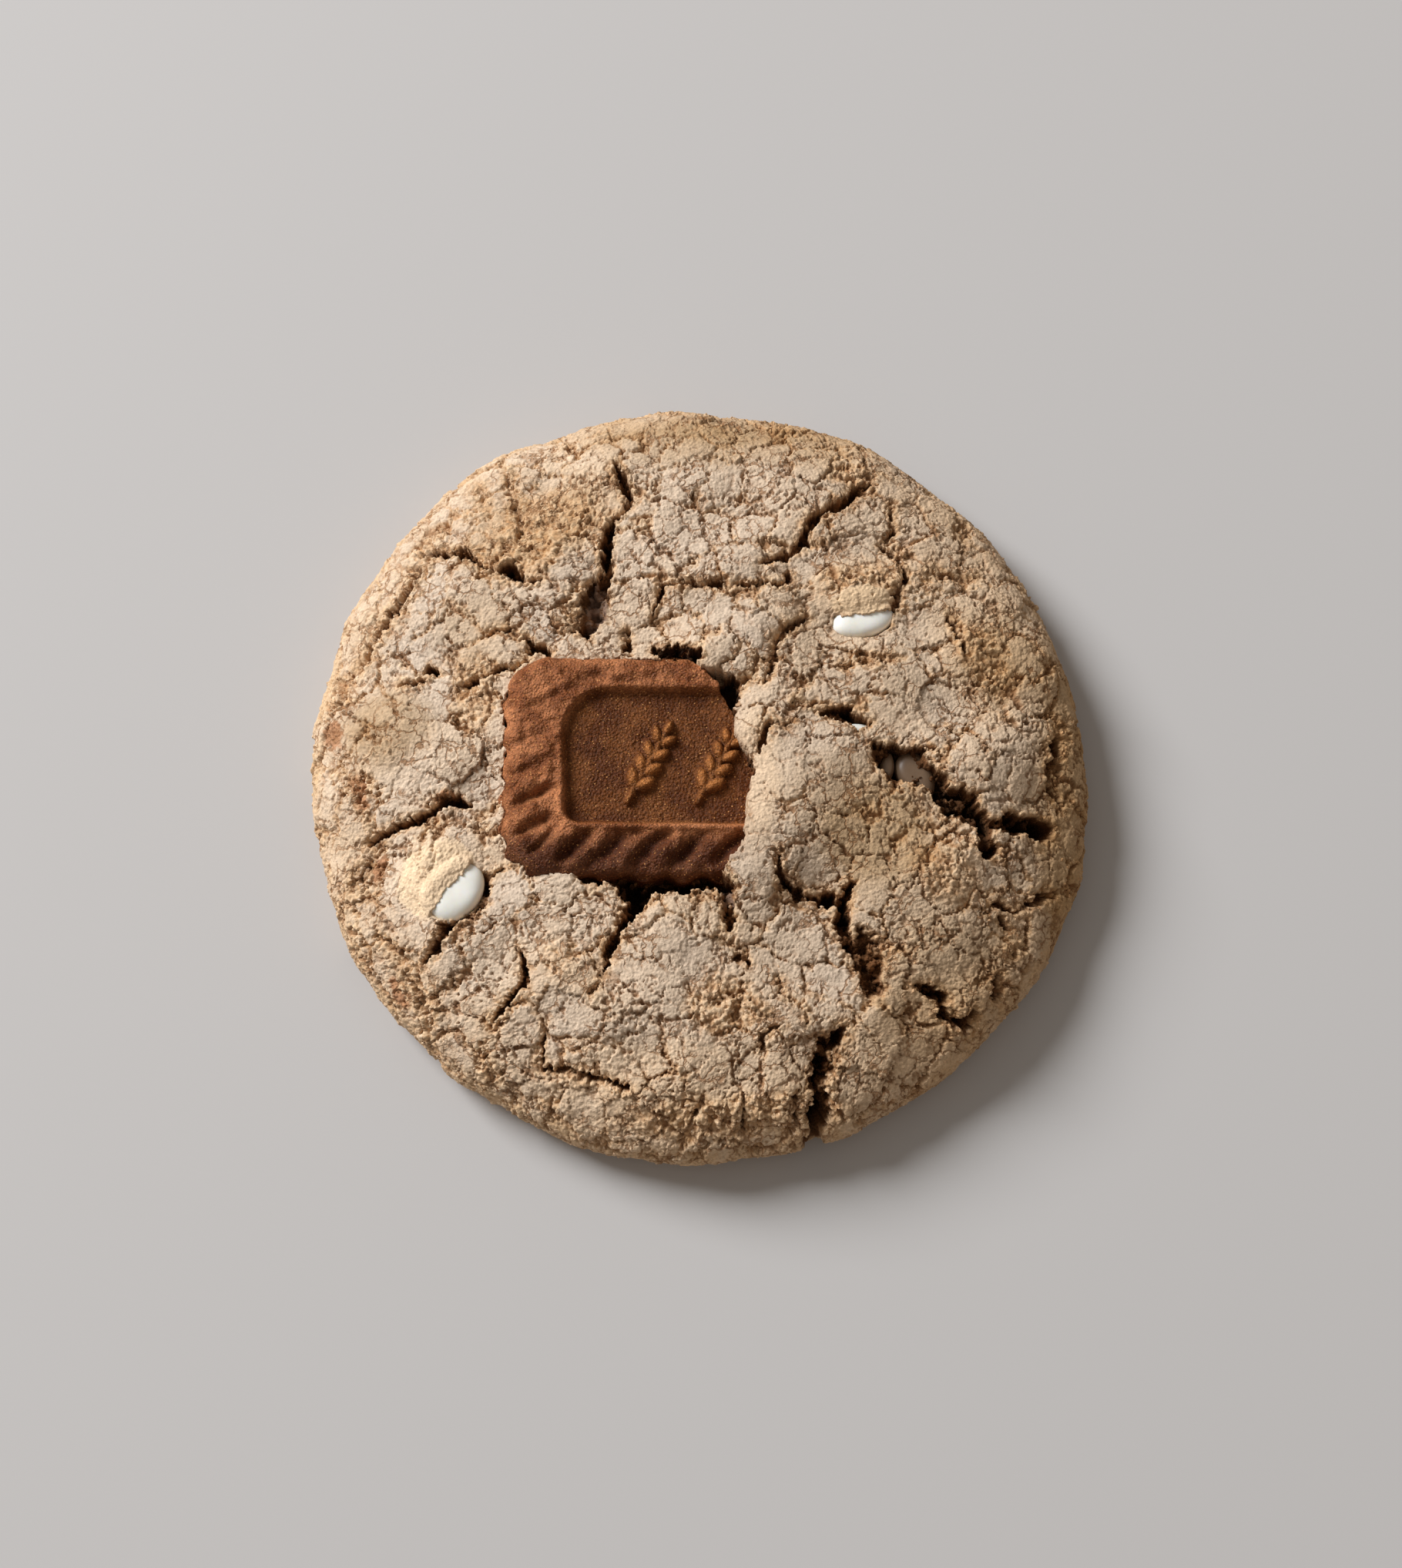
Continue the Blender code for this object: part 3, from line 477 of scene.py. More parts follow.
# %% Beds
BISCUIT_LEFT, BISCUIT_MIDDLE_Y = -27.0, -1.1
BISCUIT_LENGTH, BISCUIT_WIDTH, BISCUIT_CORNER = 62.0, 31.0, 6.5
BED_INSET = 0.45
BED_FLOOR = 11.2
FLOOR_GAP = 0.05
LIP = ((-1.8, 22.0), (-1.8, 17.5), (-1.6, 14.7), (0.2, 12.4), (2.6, 11.6), (5.4, 10.4),
       (4.6, 6.8), (4.3, 4.5), (4.9, 2.5), (6.2, 0.5), (7.2, -1.7), (6.5, -3.9), (6.2, -7.5),
       (6.2, -11.5), (5.6, -13.0), (3.7, -15.0), (2.5, -16.5), (2.6, -24.0))
CHIP_BEDS = {
    # centre, radii and turn in degrees of the bed, its depth, how far past the long axis
    # the dough on the upper side leaves the chip bare, and the chip's middle and top height
    "chip_left": ((-33.0, -18.4), (4.5, 3.7), 50.0, 1.9, 0.5, 12.6, 14.9),
    "chip_right": ((22.6, 19.9), (4.3, 2.6), 12.0, 1.8, 0.9, 12.5, 14.9),
}
CHIP_FLATNESS = 3.3
COAT, COAT_EDGE, COAT_THINNING, COAT_REACH = 0.5, 0.03, 2.4, 1.22


def box_distance(x, y, length, width, corner):
    """Signed distance to a rectangle with round corners, negative inside."""
    dx, dy = np.abs(x) - 0.5 * length + corner, np.abs(y) - 0.5 * width + corner
    outside = np.hypot(np.maximum(dx, 0.0), np.maximum(dy, 0.0))
    return outside + np.minimum(np.maximum(dx, dy), 0.0) - corner


def lip_distance(x, y):
    """Signed distance to the lip's edge, negative on the side where the biscuit shows."""
    nearest = np.full_like(x, np.inf)
    for start, end in zip(LIP, LIP[1:]):
        nearest = np.minimum(nearest, to_segment(x, y, start, end)[1])
    lip_x, lip_y = np.array(LIP[::-1]).T
    return np.where(x < np.interp(y, lip_y, lip_x), -nearest, nearest)


print("beds:", 1 + len(CHIP_BEDS), "and a lip of", len(LIP), "points")

# %% [markdown]
# ## The cracked crust
# Between the crevices the crust is a mosaic: plates a few millimetres wide with a chalky
# top, each a little higher or lower than its neighbour, with a furrow of golden crumbs round
# each. Everything there is built of crumbs, so crumbs come first: two sizes of cells, each
# rounded like a grain. A point then looks up plates and crevices not at its own place but
# near the middle of its crumb, so every edge breaks along whole crumbs and comes out lobed
# and ragged. Masks kept for the material say how deep, cracked, crumbly and warm each
# point is.

# %% Regions of the relief
CRUMBLY = {
    # centre, radii, turn in degrees: where the crust is grainy more than plated
    "upper left": ((-22.0, 33.0), (13.0, 7.0), 30.0),
    "left of the biscuit": ((-31.0, 9.0), (4.0, 8.0), 0.0),
    "bottom": ((4.0, -48.5), (18.0, 3.0), 4.0),
    "lower middle": ((3.0, -34.0), (7.0, 5.0), 0.0),
    "over the right chip": ((22.0, 25.0), (7.0, 4.0), 12.0),
    "right": ((40.0, 14.0), (4.5, 8.0), 20.0),
    "below the gash": ((33.0, -16.0), (7.0, 5.0), -30.0),
}
SMOOTH = {
    # centre, radii, turn in degrees: where the skin stayed whole
    "dough over the left chip": ((-35.8, -16.6), (7.2, 6.2), 50.0),
    "dough over the right chip": ((22.2, 22.8), (5.4, 2.6), 12.0),
    "flank beside the biscuit": ((8.2, -4.5), (2.6, 10.0), 0.0),
    "left": ((-39.0, 1.0), (7.0, 7.0), 0.0),
}
PASTES = {
    # centre, radii, turn in degrees: where moist paste shows in a crevice
    "top pocket": ((-14.5, 21.8), (1.9, 4.0), -10.0),
    "below the lip": ((3.5, -19.4), (1.0, 1.5), 10.0),
}


def in_regions(regions, x, y):
    """1 in the middle of a region, fading to 0 at its edge."""
    share = np.zeros_like(x)
    for centre, radii, turn in regions.values():
        share = np.maximum(share, 1.0 - smooth(turned(x, y, centre, radii, turn), 0.45, 1.15))
    return share


print("regions of the relief:", len(CRUMBLY) + len(SMOOTH) + len(PASTES))

# %% Regions of the colour
WARM = {
    # centre, radii, turn in degrees: where the crust is more golden
    "flank beside the biscuit": ((7.6, -4.0), (3.6, 12.0), 0.0),
    "over the left chip": ((-37.0, -14.5), (6.0, 4.5), 50.0),
    "over the right chip": ((22.0, 25.0), (9.0, 4.5), 12.0),
    "lower right": ((30.0, -38.0), (12.0, 8.0), 40.0),
    "bottom": ((0.0, -44.0), (24.0, 7.0), 0.0),
    "upper left": ((-20.0, 36.0), (12.0, 6.0), 25.0),
    "right": ((38.0, 16.0), (8.0, 12.0), 20.0),
    "left below the biscuit": ((-27.0, -12.0), (5.0, 5.0), 0.0),
}
DOUGH = {
    # centre, radii, turn in degrees: smooth cream dough that ran over a chip
    "over the left chip": ((-35.4, -16.8), (7.0, 6.2), 50.0),
    "over the right chip": ((22.4, 22.4), (5.0, 2.8), 12.0),
}
EMBER = {
    # centre, radii, turn in degrees: reddish crumb of the baked-in spread
    "left smear": ((-46.6, -4.2), (1.1, 3.4), 8.0),
    "left edge": ((-50.8, 4.6), (1.8, 2.8), 0.0),
    "below the left chip": ((-43.6, -14.6), (1.0, 2.4), -25.0),
    "lower left rim": ((-40.8, -31.6), (0.9, 2.6), 30.0),
    "left slit": ((-34.0, -5.4), (2.4, 1.0), 12.0),
}
BROWNED_AND_SHADED = {
    # centre, radii, turn in degrees: where the oven browned the crust more; the entries beyond the
    # bump, at the lower right and at the right rim, away from the window, are painted shade as well
    "upper left": ((-24.0, 34.0), (15.0, 8.0), 30.0),
    "beyond the bump": ((22.0, -8.0), (13.0, 9.0), -30.0),
    "left": ((-43.0, 5.0), (8.0, 7.0), 0.0),
    "lower right": ((32.0, -30.0), (14.0, 10.0), 45.0),
    "right rim": ((50.0, -6.0), (5.0, 26.0), 0.0),
    "top rim": ((4.0, 47.0), (24.0, 5.0), 0.0),
}
DARKEST_BAKE_AND_SHADE = {
    # centre, radii, turn in degrees: the darkest places, browner from the oven and, beyond the bump,
    # at the right rim and at the right, painted shade as well
    "beyond the bump": ((24.0, -12.0), (8.5, 9.5), 0.0),
    "left of the top crack": ((-30.5, 18.5), (9.0, 7.0), 0.0),
    "right rim": ((52.0, -6.0), (3.5, 22.0), 0.0),
    "top rim": ((0.0, 50.5), (26.0, 4.0), 0.0),
    "left": ((-43.0, 5.0), (8.0, 7.0), 0.0),
    "right": ((41.0, 15.0), (8.0, 8.0), 0.0),
}
PAINTED_SHADE_GAPS = {
    # centre, radii, turn in degrees: painted shade, black in the hollows beside the biscuit's broken
    # corner under the crust's edge
    "broken corner": ((4.3, 8.9), (1.9, 2.9), 25.0),
    "upper edge": ((-3.4, 15.0), (3.6, 1.3), -4.0),
    "lip notch": ((6.9, -1.2), (0.9, 1.9), 20.0),
}
print("regions of the colour:", sum(map(len, (WARM, DOUGH, EMBER, BROWNED_AND_SHADED, DARKEST_BAKE_AND_SHADE, PAINTED_SHADE_GAPS))))

# %% Swollen form
BASE_FADE = 2.5


def swollen_form(points, out):
    """The plain skin with the dough's slow lumps and its raised places."""
    angle = np.arctan2(points[:, 1], points[:, 0])
    bulge = lumps(points) * np.clip(points[:, 2] / BASE_FADE, 0.0, 1.0)
    sideways = 0.5 * bulge * np.hypot(out[:, 0], out[:, 1])
    form = points.copy()
    form[:, 0] += sideways * np.cos(angle) + SHIFT[0]
    form[:, 1] += sideways * np.sin(angle) + SHIFT[1]
    above = smooth(points[:, 2], 0.0, BASE_FADE)
    raised = swells(points[:, 0], points[:, 1]) * np.clip(out[:, 2], 0.0, 1.0)
    form[:, 2] += bulge * out[:, 2] * above + raised
    return form, above


form, above = swollen_form(plain, lean)
print("form in mm:", form.min(0).round(1), form.max(0).round(1))

# %% Crumbs of the dough
CRUMB_SIZES, LUMP_SIZE = (0.56, 1.35), 3.0
WARP_LENGTH, WARP_GAIN, WARP_SEEDS = 3.8, 0.55, (101, 202, 303)
FINE_PULL, COARSE_PULL = 0.62, 0.3
FINE_LEVEL, COARSE_LEVEL, LUMP_LEVEL = 0.4, 0.45, 0.5
LOOSENING = 1.3
FINE_RISE, FINE_STEP = 0.38, 0.32
COARSE_RISE, COARSE_STEP = 0.52, 0.38
LUMP_RISE, LUMP_STEP = 0.75, 0.55
BAKED_RISE = 0.015


def find_crumbs(form):
    """Each point's crumbs of two sizes and lump, and the place that it is looked up at."""
    warp = np.column_stack([fractal(form, WARP_LENGTH, 4, seed, WARP_GAIN) for seed in WARP_SEEDS])
    fine_size, coarse_size = CRUMB_SIZES
    fine_in, _, fine_shade, fine_middle = cells(form + 0.15 * warp, fine_size, 9)
    coarse_in, _, coarse_shade, coarse_middle = cells(fine_middle, coarse_size, 10)
    lump_in, _, lump_shade, _ = cells(coarse_middle, LUMP_SIZE, 11)
    broken = form + FINE_PULL * (fine_middle - form) + COARSE_PULL * (coarse_middle - fine_middle)
    return SimpleNamespace(
        warp=warp, broken=broken,
        x=broken[:, 0] + 0.5 * warp[:, 0], y=broken[:, 1] + 0.5 * warp[:, 1],
        fine=1.0 - fine_in / fine_size - FINE_LEVEL, fine_shade=fine_shade,
        coarse=1.0 - coarse_in / coarse_size - COARSE_LEVEL, coarse_shade=coarse_shade,
        lump=1.0 - lump_in / LUMP_SIZE - LUMP_LEVEL, lump_shade=lump_shade)


def crumb_heights(crumbs, crumb_share):
    """Height of the crumbs of both sizes, and of the lumps that they gather in."""
    loosened = crumb_share**LOOSENING
    grain = (BAKED_RISE + FINE_RISE * loosened) * crumbs.fine
    grain += (FINE_STEP * loosened * (crumbs.fine_shade - 0.5)
              + COARSE_RISE * loosened * crumbs.coarse)
    grain += COARSE_STEP * loosened * (crumbs.coarse_shade - 0.5)
    lump = LUMP_RISE * loosened * crumbs.lump + LUMP_STEP * loosened * (crumbs.lump_shade - 0.5)
    return grain, lump


crumbs_at = find_crumbs(form)
print("crumb sizes in mm:", CRUMB_SIZES, "lumps:", LUMP_SIZE)

# %% Plates of the crust
PLATE_SIZES, PLATE_STEPS = (6.4, 2.8), (0.5, 0.22)
PLATE_WARP = 0.75
WIDE_CRACK, THIN_CRACK, SPLIT, FURROW = 0.55, 0.38, 0.32, 0.28
THIN_SHADE = 0.75


def crack_plates(form, crumbs):
    """Height of the plates with their cracks, and where the crust is cracked or grainy."""
    whole = in_regions(SMOOTH, crumbs.x, crumbs.y)
    grainy = np.maximum(smooth(waves(form, 13.0, 31), 0.25, 0.9),
                        in_regions(CRUMBLY, crumbs.x, crumbs.y)) * (1.0 - whole)
    warped = crumbs.broken + PLATE_WARP * crumbs.warp
    first, second, plate_shade, _ = cells(warped, PLATE_SIZES[0], 7)
    opened = smooth(waves(form, 8.0, 55), -0.8, 0.2) * (1.0 - 0.8 * whole)
    seam = (second - first) / np.maximum(opened, 0.3)
    wide_crack = (1.0 - smooth(seam, 0.05, 0.32)) * opened
    furrow = (1.0 - smooth(seam, 0.15, 1.2)) * smooth(waves(form, 7.0, 59), -0.5, 0.4)
    first, second, small_shade, _ = cells(warped + 0.3 * crumbs.warp[:, ::-1], PLATE_SIZES[1], 8)
    opened = smooth(waves(form, 4.5, 56), -0.4, 0.4) * (1.0 - 0.7 * whole)
    thin_crack = (1.0 - smooth(second - first, 0.03, 0.24)) * opened
    wander = np.abs(fractal(warped, 5.0, 2, 57, 0.4))
    split = (1.0 - smooth(wander, 0.008, 0.04)) * smooth(waves(form, 6.0, 58), -0.2, 0.4)
    split *= 1.0 - 0.7 * whole
    height = (PLATE_STEPS[0] * (plate_shade - 0.5) * (1.0 - 0.6 * grainy)
              + PLATE_STEPS[1] * (small_shade - 0.5))
    height -= (WIDE_CRACK * wide_crack + THIN_CRACK * thin_crack + SPLIT * split
               + FURROW * furrow)
    crack = np.maximum.reduce([wide_crack, THIN_SHADE * thin_crack, THIN_SHADE * split])
    return SimpleNamespace(height=height, furrow=furrow, crack=crack, shade=plate_shade,
                           whole=whole, grainy=grainy)


plates = crack_plates(form, crumbs_at)
print("plates in mm:", PLATE_SIZES, "with a relief of", round(float(np.ptp(plates.height)), 2))

# %% Relief of the crust
SHOULDER, SHOULDER_WIDTH = 0.3, 0.45
CRUMBLING_WIDTH = 0.9


def make_relief(form, out, above, crumbs, plates):
    """Moves the form's skin to the crust's surface; returns it with measures of each point."""
    top = np.clip(out[:, 2], 0.0, 1.0)
    waver = 1.0 + 0.45 * fractal(form, 2.4, 2, 404)
    depth, beyond = carve(crumbs.x, crumbs.y, waver)
    side = 1.0 - smooth(out[:, 2], 0.25, 0.75)
    near_rim = smooth(np.hypot(form[:, 0], form[:, 1]), 42.0, 51.0)
    crumb = np.clip(0.9 * np.exp(-np.maximum(beyond, 0.0) / CRUMBLING_WIDTH) + 0.3 * side
                    + 0.25 * near_rim + 0.75 * plates.grainy + 0.7 * plates.furrow, 0.0, 1.0)
    crumb *= 1.0 - 0.6 * plates.whole
    grain, lump = crumb_heights(crumbs, crumb)
    fine = 0.045 * fractal(form, 0.7, 3, 66, 0.7) + 0.05 * waves(form, 2.6, 67)
    paste = smooth(in_regions(PASTES, crumbs.x, crumbs.y), 0.3, 0.6) * top
    inside = smooth(depth, 0.2, 1.2)
    depth *= 1.0 - 0.2 * paste
    depth *= 1.0 - 0.5 * smooth(crumbs.coarse_shade, 0.5, 0.72)
    shoulder = SHOULDER * np.exp(-np.maximum(beyond, 0.0) / SHOULDER_WIDTH)
    rough = (plates.height * (1.0 - inside) + grain * (1.0 + 1.2 * inside) + fine
             + lump * (1.0 - inside))
    rough *= 1.0 - 0.8 * paste
    move = (rough - depth - shoulder) * above * (1.0 - 0.3 * side)
    return SimpleNamespace(
        surface=form + out * move[:, None], top=top, side=side, near_rim=near_rim, crumb=crumb,
        grain=grain, lump=lump, fine=fine, paste=paste, inside=inside, sunk=depth + shoulder)


relief = make_relief(form, lean, above, crumbs_at, plates)
print("relief in mm:", relief.surface.min(0).round(1), relief.surface.max(0).round(1))

# %% [markdown]
# The bed of the biscuit is cut out of the skin last, and so are the chips' beds. Over its
# upper side the dough ran across each chip: there a coat follows the chip's own round form,
# thins out towards its edge, and ends in a wavy line.

# %% Beds in the crust
def sink_bed(surface, crumbs, top):
    """Sinks the biscuit's bed; returns distances past its edge, and its edge at the lip."""
    dx = crumbs.x - BISCUIT_LEFT - 0.5 * BISCUIT_LENGTH
    dy = crumbs.y - BISCUIT_MIDDLE_Y
    bed = box_distance(dx - 0.2 * crumbs.warp[:, 0], dy - 0.2 * crumbs.warp[:, 1],
                       BISCUIT_LENGTH - 2.0 * BED_INSET, BISCUIT_WIDTH - 2.0 * BED_INSET,
                       BISCUIT_CORNER)
    lip = lip_distance(crumbs.x, crumbs.y)
    window = np.maximum(bed, lip)
    drop = top * (1.0 - smooth(window, -0.2, 0.1))
    surface[:, 2] += (BED_FLOOR - surface[:, 2]) * drop
    return window, np.exp(-np.abs(window) / 0.5) * (lip > bed)


def cover_chips(surface, form, crumbs, relief):
    """Sinks each chip's bed and lays a coat of dough over its upper side."""
    near_x, near_y = form[:, 0] + 0.25 * crumbs.warp[:, 0], form[:, 1] + 0.25 * crumbs.warp[:, 1]
    waviness = 0.35 * waves(form, 3.0, 68) + 0.2 * waves(form, 1.1, 69)
    for centre, radii, turn, bed_depth, bare, middle, crest in CHIP_BEDS.values():
        share = turned(near_x, near_y, centre, radii, turn)
        c, s = math.cos(math.radians(turn)), math.sin(math.radians(turn))
        past = c * (crumbs.y - centre[1]) - s * (crumbs.x - centre[0]) - bare + waviness
        open_share = (1.0 - smooth(share, 0.88, 1.0)) * (1.0 - smooth(past, 0.0, 0.25))
        surface[:, 2] -= bed_depth * open_share * relief.top
        dome = np.clip(1.0 - (share / COAT_REACH) ** CHIP_FLATNESS, 0.0, 1.0)
        coat = middle + (crest - middle) * dome ** (1.0 / CHIP_FLATNESS)
        coat += (COAT_EDGE + COAT * smooth(past, 0.0, COAT_THINNING) + 0.15 * relief.grain
                 + 0.6 * relief.fine)
        covered = smooth(past, 0.0, 0.2) * (share < COAT_REACH)
        surface[:, 2] += np.maximum(coat - surface[:, 2], 0.0) * covered


surface = relief.surface
window, lip_edge = sink_bed(surface, crumbs_at, relief.top)
cover_chips(surface, form, crumbs_at, relief)
surface[:, 2] = np.where(above > 0.0, np.maximum(surface[:, 2], FLOOR_GAP), surface[:, 2])
print("surface in mm:", surface.min(0).round(1), surface.max(0).round(1))

# %% Masks for the finish
# The browning mask: a base, a rise towards +x that is painted shade on the side away from the window,
# slow random waves, and the regions above.
BASE_BAKE_AND_SHADE, SHADE_RUN, BAKE_WAVES = 0.16, 165.0, 0.16
WARMTH = 0.35
BROWNED_AND_SHADED_SHARE, DARKEST_BAKE_AND_SHADE_SHARE = 0.47, 0.42


def make_masks(form, above, crumbs, plates, relief, window, lip_edge):
    """Numbers from 0 to 1 that tell the materials what each point of the crust is like."""
    x, y = crumbs.x, crumbs.y
    warmth = 0.75 * in_regions(WARM, x, y) + 0.5 * (plates.shade - 0.5)
    warmth += 0.35 * waves(form, 9.0, 61)
    # painted shade: the mask grows towards the right, away from the window, on top of the oven's
    # browning
    bake_and_shade = BASE_BAKE_AND_SHADE + form[:, 0] / SHADE_RUN + BAKE_WAVES * waves(form, 14.0, 62)
    bake_and_shade += BROWNED_AND_SHADED_SHARE * in_regions(BROWNED_AND_SHADED, x, y) + DARKEST_BAKE_AND_SHADE_SHARE * in_regions(DARKEST_BAKE_AND_SHADE, x, y)
    # unlit: painted shade, black where the crust sinks in the gaps by the biscuit's broken corner
    unlit = in_regions(PAINTED_SHADE_GAPS, x, y) * smooth(form[:, 2] - relief.surface[:, 2], 0.3, 1.1)
    loose = np.clip(0.6 * relief.crumb**2 + 1.4 * relief.inside - relief.paste, 0.0, 2.0)
    masks = {
        # depth steers the painted shade of the crevices in the materials
        "depth": relief.sunk * above / DEEPEST + unlit,
        "crack": np.maximum(plates.crack, 0.5 * lip_edge),
        "crumb": relief.crumb,
        "rim": relief.side + 0.5 * relief.near_rim,
        "paste": relief.paste,
        "warmth": WARMTH + warmth,
        "bake_and_shade": bake_and_shade,
        # hollow: low places between crumbs, which the crust material paints a deeper gold as painted
        # shade
        "hollow": 0.5 - 1.2 * (relief.grain + 0.6 * relief.lump),
        "dough": smooth(in_regions(DOUGH, x, y), 0.3, 0.6),
        "ember": smooth(in_regions(EMBER, x, y) + 0.35 * (crumbs.fine_shade - 0.5), 0.25, 0.7),
        "grit": crumbs.fine_shade,
    }
    masks = {name: np.clip(value, 0.0, 1.0) for name, value in masks.items()}
    masks["loose"] = loose * smooth(window, 0.1, 0.5) * above
    return masks


masks = make_masks(form, above, crumbs_at, plates, relief, window, lip_edge)
print("masks:", ", ".join(masks))

# %% [markdown]
# ## The underside
# The base baked against a tray: flat, browner, with shallow pores where steam was trapped.
# It is seen only when the cookie is picked up, so the relief is light, and never goes below
# the surface that the cookie lies on.

# %% Pores of the underside
under = lean[:, 2] < -0.99
PORE_SIZE = 3.1
bent = surface[under] + 0.4 * fractal(surface[under], 3.0, 2, 71)[:, None]
pore = cells(bent, PORE_SIZE, 72)[0]
ease = 1.0 - smooth(np.hypot(plain[under, 0], plain[under, 1]), 44.0, 51.0)
pits = 0.45 * (1.0 - smooth(pore, 0.3, 1.0)) + 0.12 * np.abs(fractal(surface[under], 6.0, 3, 73))
surface[under, 2] = pits * ease
masks["depth"][under] = 0.5 * pits * ease
print("deepest pore in mm:", round(float((pits * ease).max()), 2))

# %% [markdown]
# ## One skin, seven pieces
# The whole skin has too many triangles for one handy piece, so it is shared out: six
# sectors of crust and the underside. The full skin is made once, its smooth normals are
# read, and each piece keeps them as custom normals, so that no seam shows where two meet.

# %% Pieces of the skin
SECTORS = ("crust_right_back", "crust_back", "crust_left_back", "crust_left_front", "crust_front",
           "crust_right_front")


def make_mesh(name, points, faces):
    """A mesh from arrays of points in millimetres and of triangles."""
    mesh = bpy.data.meshes.new(name)
    mesh.vertices.add(len(points))
    mesh.vertices.foreach_set("co", (points * MM).astype(np.float32).ravel())
    mesh.loops.add(3 * len(faces))
    mesh.loops.foreach_set("vertex_index", faces.astype(np.int32).ravel())
    mesh.polygons.add(len(faces))
    mesh.polygons.foreach_set("loop_start", np.arange(0, 3 * len(faces), 3, dtype=np.int32))
    mesh.update(calc_edges=True)
    mesh.shade_smooth()
    return mesh


def add_masks(mesh, values):
    """Stores one number a vertex for each named mask."""
    for name, value in values.items():
        layer = mesh.attributes.new(name, "FLOAT", "POINT")
        layer.data.foreach_set("value", value.astype(np.float32))


def add_object(name, mesh):
    """Puts a mesh in the scene as an object at the origin."""
    piece = bpy.data.objects.new(name, mesh)
    bpy.context.scene.collection.objects.link(piece)
    return piece


full_skin = make_mesh("whole skin", surface, skin_faces)
normals = np.zeros(3 * len(surface), dtype=np.float32)
full_skin.vertex_normals.foreach_get("vector", normals)
normals = normals.reshape(-1, 3)
bpy.data.meshes.remove(full_skin)
face_angle = np.degrees(np.arctan2(plain[skin_faces[:, 0], 1], plain[skin_faces[:, 0], 0])) % 360.0
sector = (face_angle * len(SECTORS) / 360.0).astype(int)
sector[underside_from:] = len(SECTORS)
skin_pieces = []
for number, name in enumerate((*SECTORS, "underside")):
    used, numbers = np.unique(skin_faces[sector == number], return_inverse=True)
    mesh = make_mesh(name, surface[used], numbers.reshape(-1, 3))
    add_masks(mesh, {mask: value[used] for mask, value in masks.items()})
    mesh.normals_split_custom_set_from_vertices(normals[used])
    skin_pieces.append(add_object(name, mesh))
    print(name, len(mesh.polygons), "triangles")

# %% [markdown]
# ## The caramelised biscuit
# A thin crisp biscuit pressed in a mould: a scalloped frame with slanting grooves, a narrow
# ridge inside it, and a sunken panel. Loops that shrink from the outline to a line in the
# middle follow the frame closely, and each point takes its height from plain rules: distance
# to the outline rounds the edge, distance to the panel makes ridge and wall, parallel waves
# make the grooves. The panel carries two ears of wheat, a common ornament, raised by the
# same kind of rule. The frame's far side is softer, as baking melted it.

# %% Mould of the biscuit
BISCUIT_THICKNESS = 6.5
HALF = 0.5 * BISCUIT_THICKNESS
PANEL_LENGTH, PANEL_WIDTH, PANEL_SHIFT = 45.0, 18.6, 1.1
PANEL_CORNERS = (2.0, 6.0)
LEFT_PITCH, LEFT_SLOPE, LEFT_PHASE = 4.2, 0.51, -0.165
FRONT_PITCH, FRONT_SLOPE, FRONT_PHASE = 5.2, 0.84, 0.2
LEFT_END = (21.0, 26.0)


def flat_points(x, y):
    """Points in the biscuit's own plane, at which noise is looked up."""
    return np.column_stack([x, y, np.zeros_like(x)])


def on_left_end(x):
    """1 on the left side of the frame and 0 away from it."""
    return smooth(-x, *LEFT_END)


def groove_wave(x, y):
    """1 in the middle of a groove of the frame and -1 on the ridge between two."""
    on_left = np.cos(2.0 * math.pi * ((y - LEFT_SLOPE * x) / LEFT_PITCH + LEFT_PHASE))
    on_front = np.cos(2.0 * math.pi * ((x - FRONT_SLOPE * y) / FRONT_PITCH + FRONT_PHASE))
    from_corner = (x + 0.5 * BISCUIT_LENGTH) - (y + 0.5 * BISCUIT_WIDTH)
    share = smooth(from_corner, -1.5, 1.5)
    return on_left * (1.0 - share) + on_front * share


print("grooves every", LEFT_PITCH, "mm at the left and every", FRONT_PITCH, "mm at the front")

# %% Broken corner and melted detail
BITE_LINES = (((-1.4, 14.0), (2.0, 10.8)), ((2.0, 10.8), (4.3, 6.4)))
BITE_DEPTH = 4.5
MELTED_SHARE = 0.86


def bite(x, y):
    """How far a point lies past the edge where the biscuit's upper corner broke off."""
    over_x, over_y = x + BISCUIT_LEFT + 0.5 * BISCUIT_LENGTH, y + BISCUIT_MIDDLE_Y
    past = np.full_like(x, -np.inf)
    for (ax, ay), (bx, by) in BITE_LINES:
        across = (over_x - ax) * (ay - by) + (over_y - ay) * (bx - ax)
        past = np.maximum(past, across / math.hypot(bx - ax, by - ay))
    return past + 0.35 * fractal(flat_points(x, y), 1.6, 2, 86)


def crispness(x, y):
    """How much of the mould's detail baking has left: least at the top and the upper left."""
    blur = 0.25 * waves(flat_points(x, y), 5.0, 85)
    return np.clip(1.0 - MELTED_SHARE * smooth(y + blur * 6.0, -5.0, 1.5), 0.0, 1.0)


print("detail melted at the far side:", MELTED_SHARE)

# %% Ears of wheat
EAR_FEET = ((-10.0, -6.2), (-0.5, -6.2))
EAR_TILT = math.radians(62.0)
EAR_PAIRS, EAR_PITCH, EAR_STALK = 4, 2.3, 3.2
GRAIN_LENGTH, GRAIN_WIDTH, GRAIN_SPREAD, GRAIN_SHRINK = 3.5, 1.7, math.radians(34.0), 0.08
GRAIN_RISE, STEM_RISE, STEM_WIDTH = 1.25, 0.85, 1.0
ROUNDNESS = 0.75


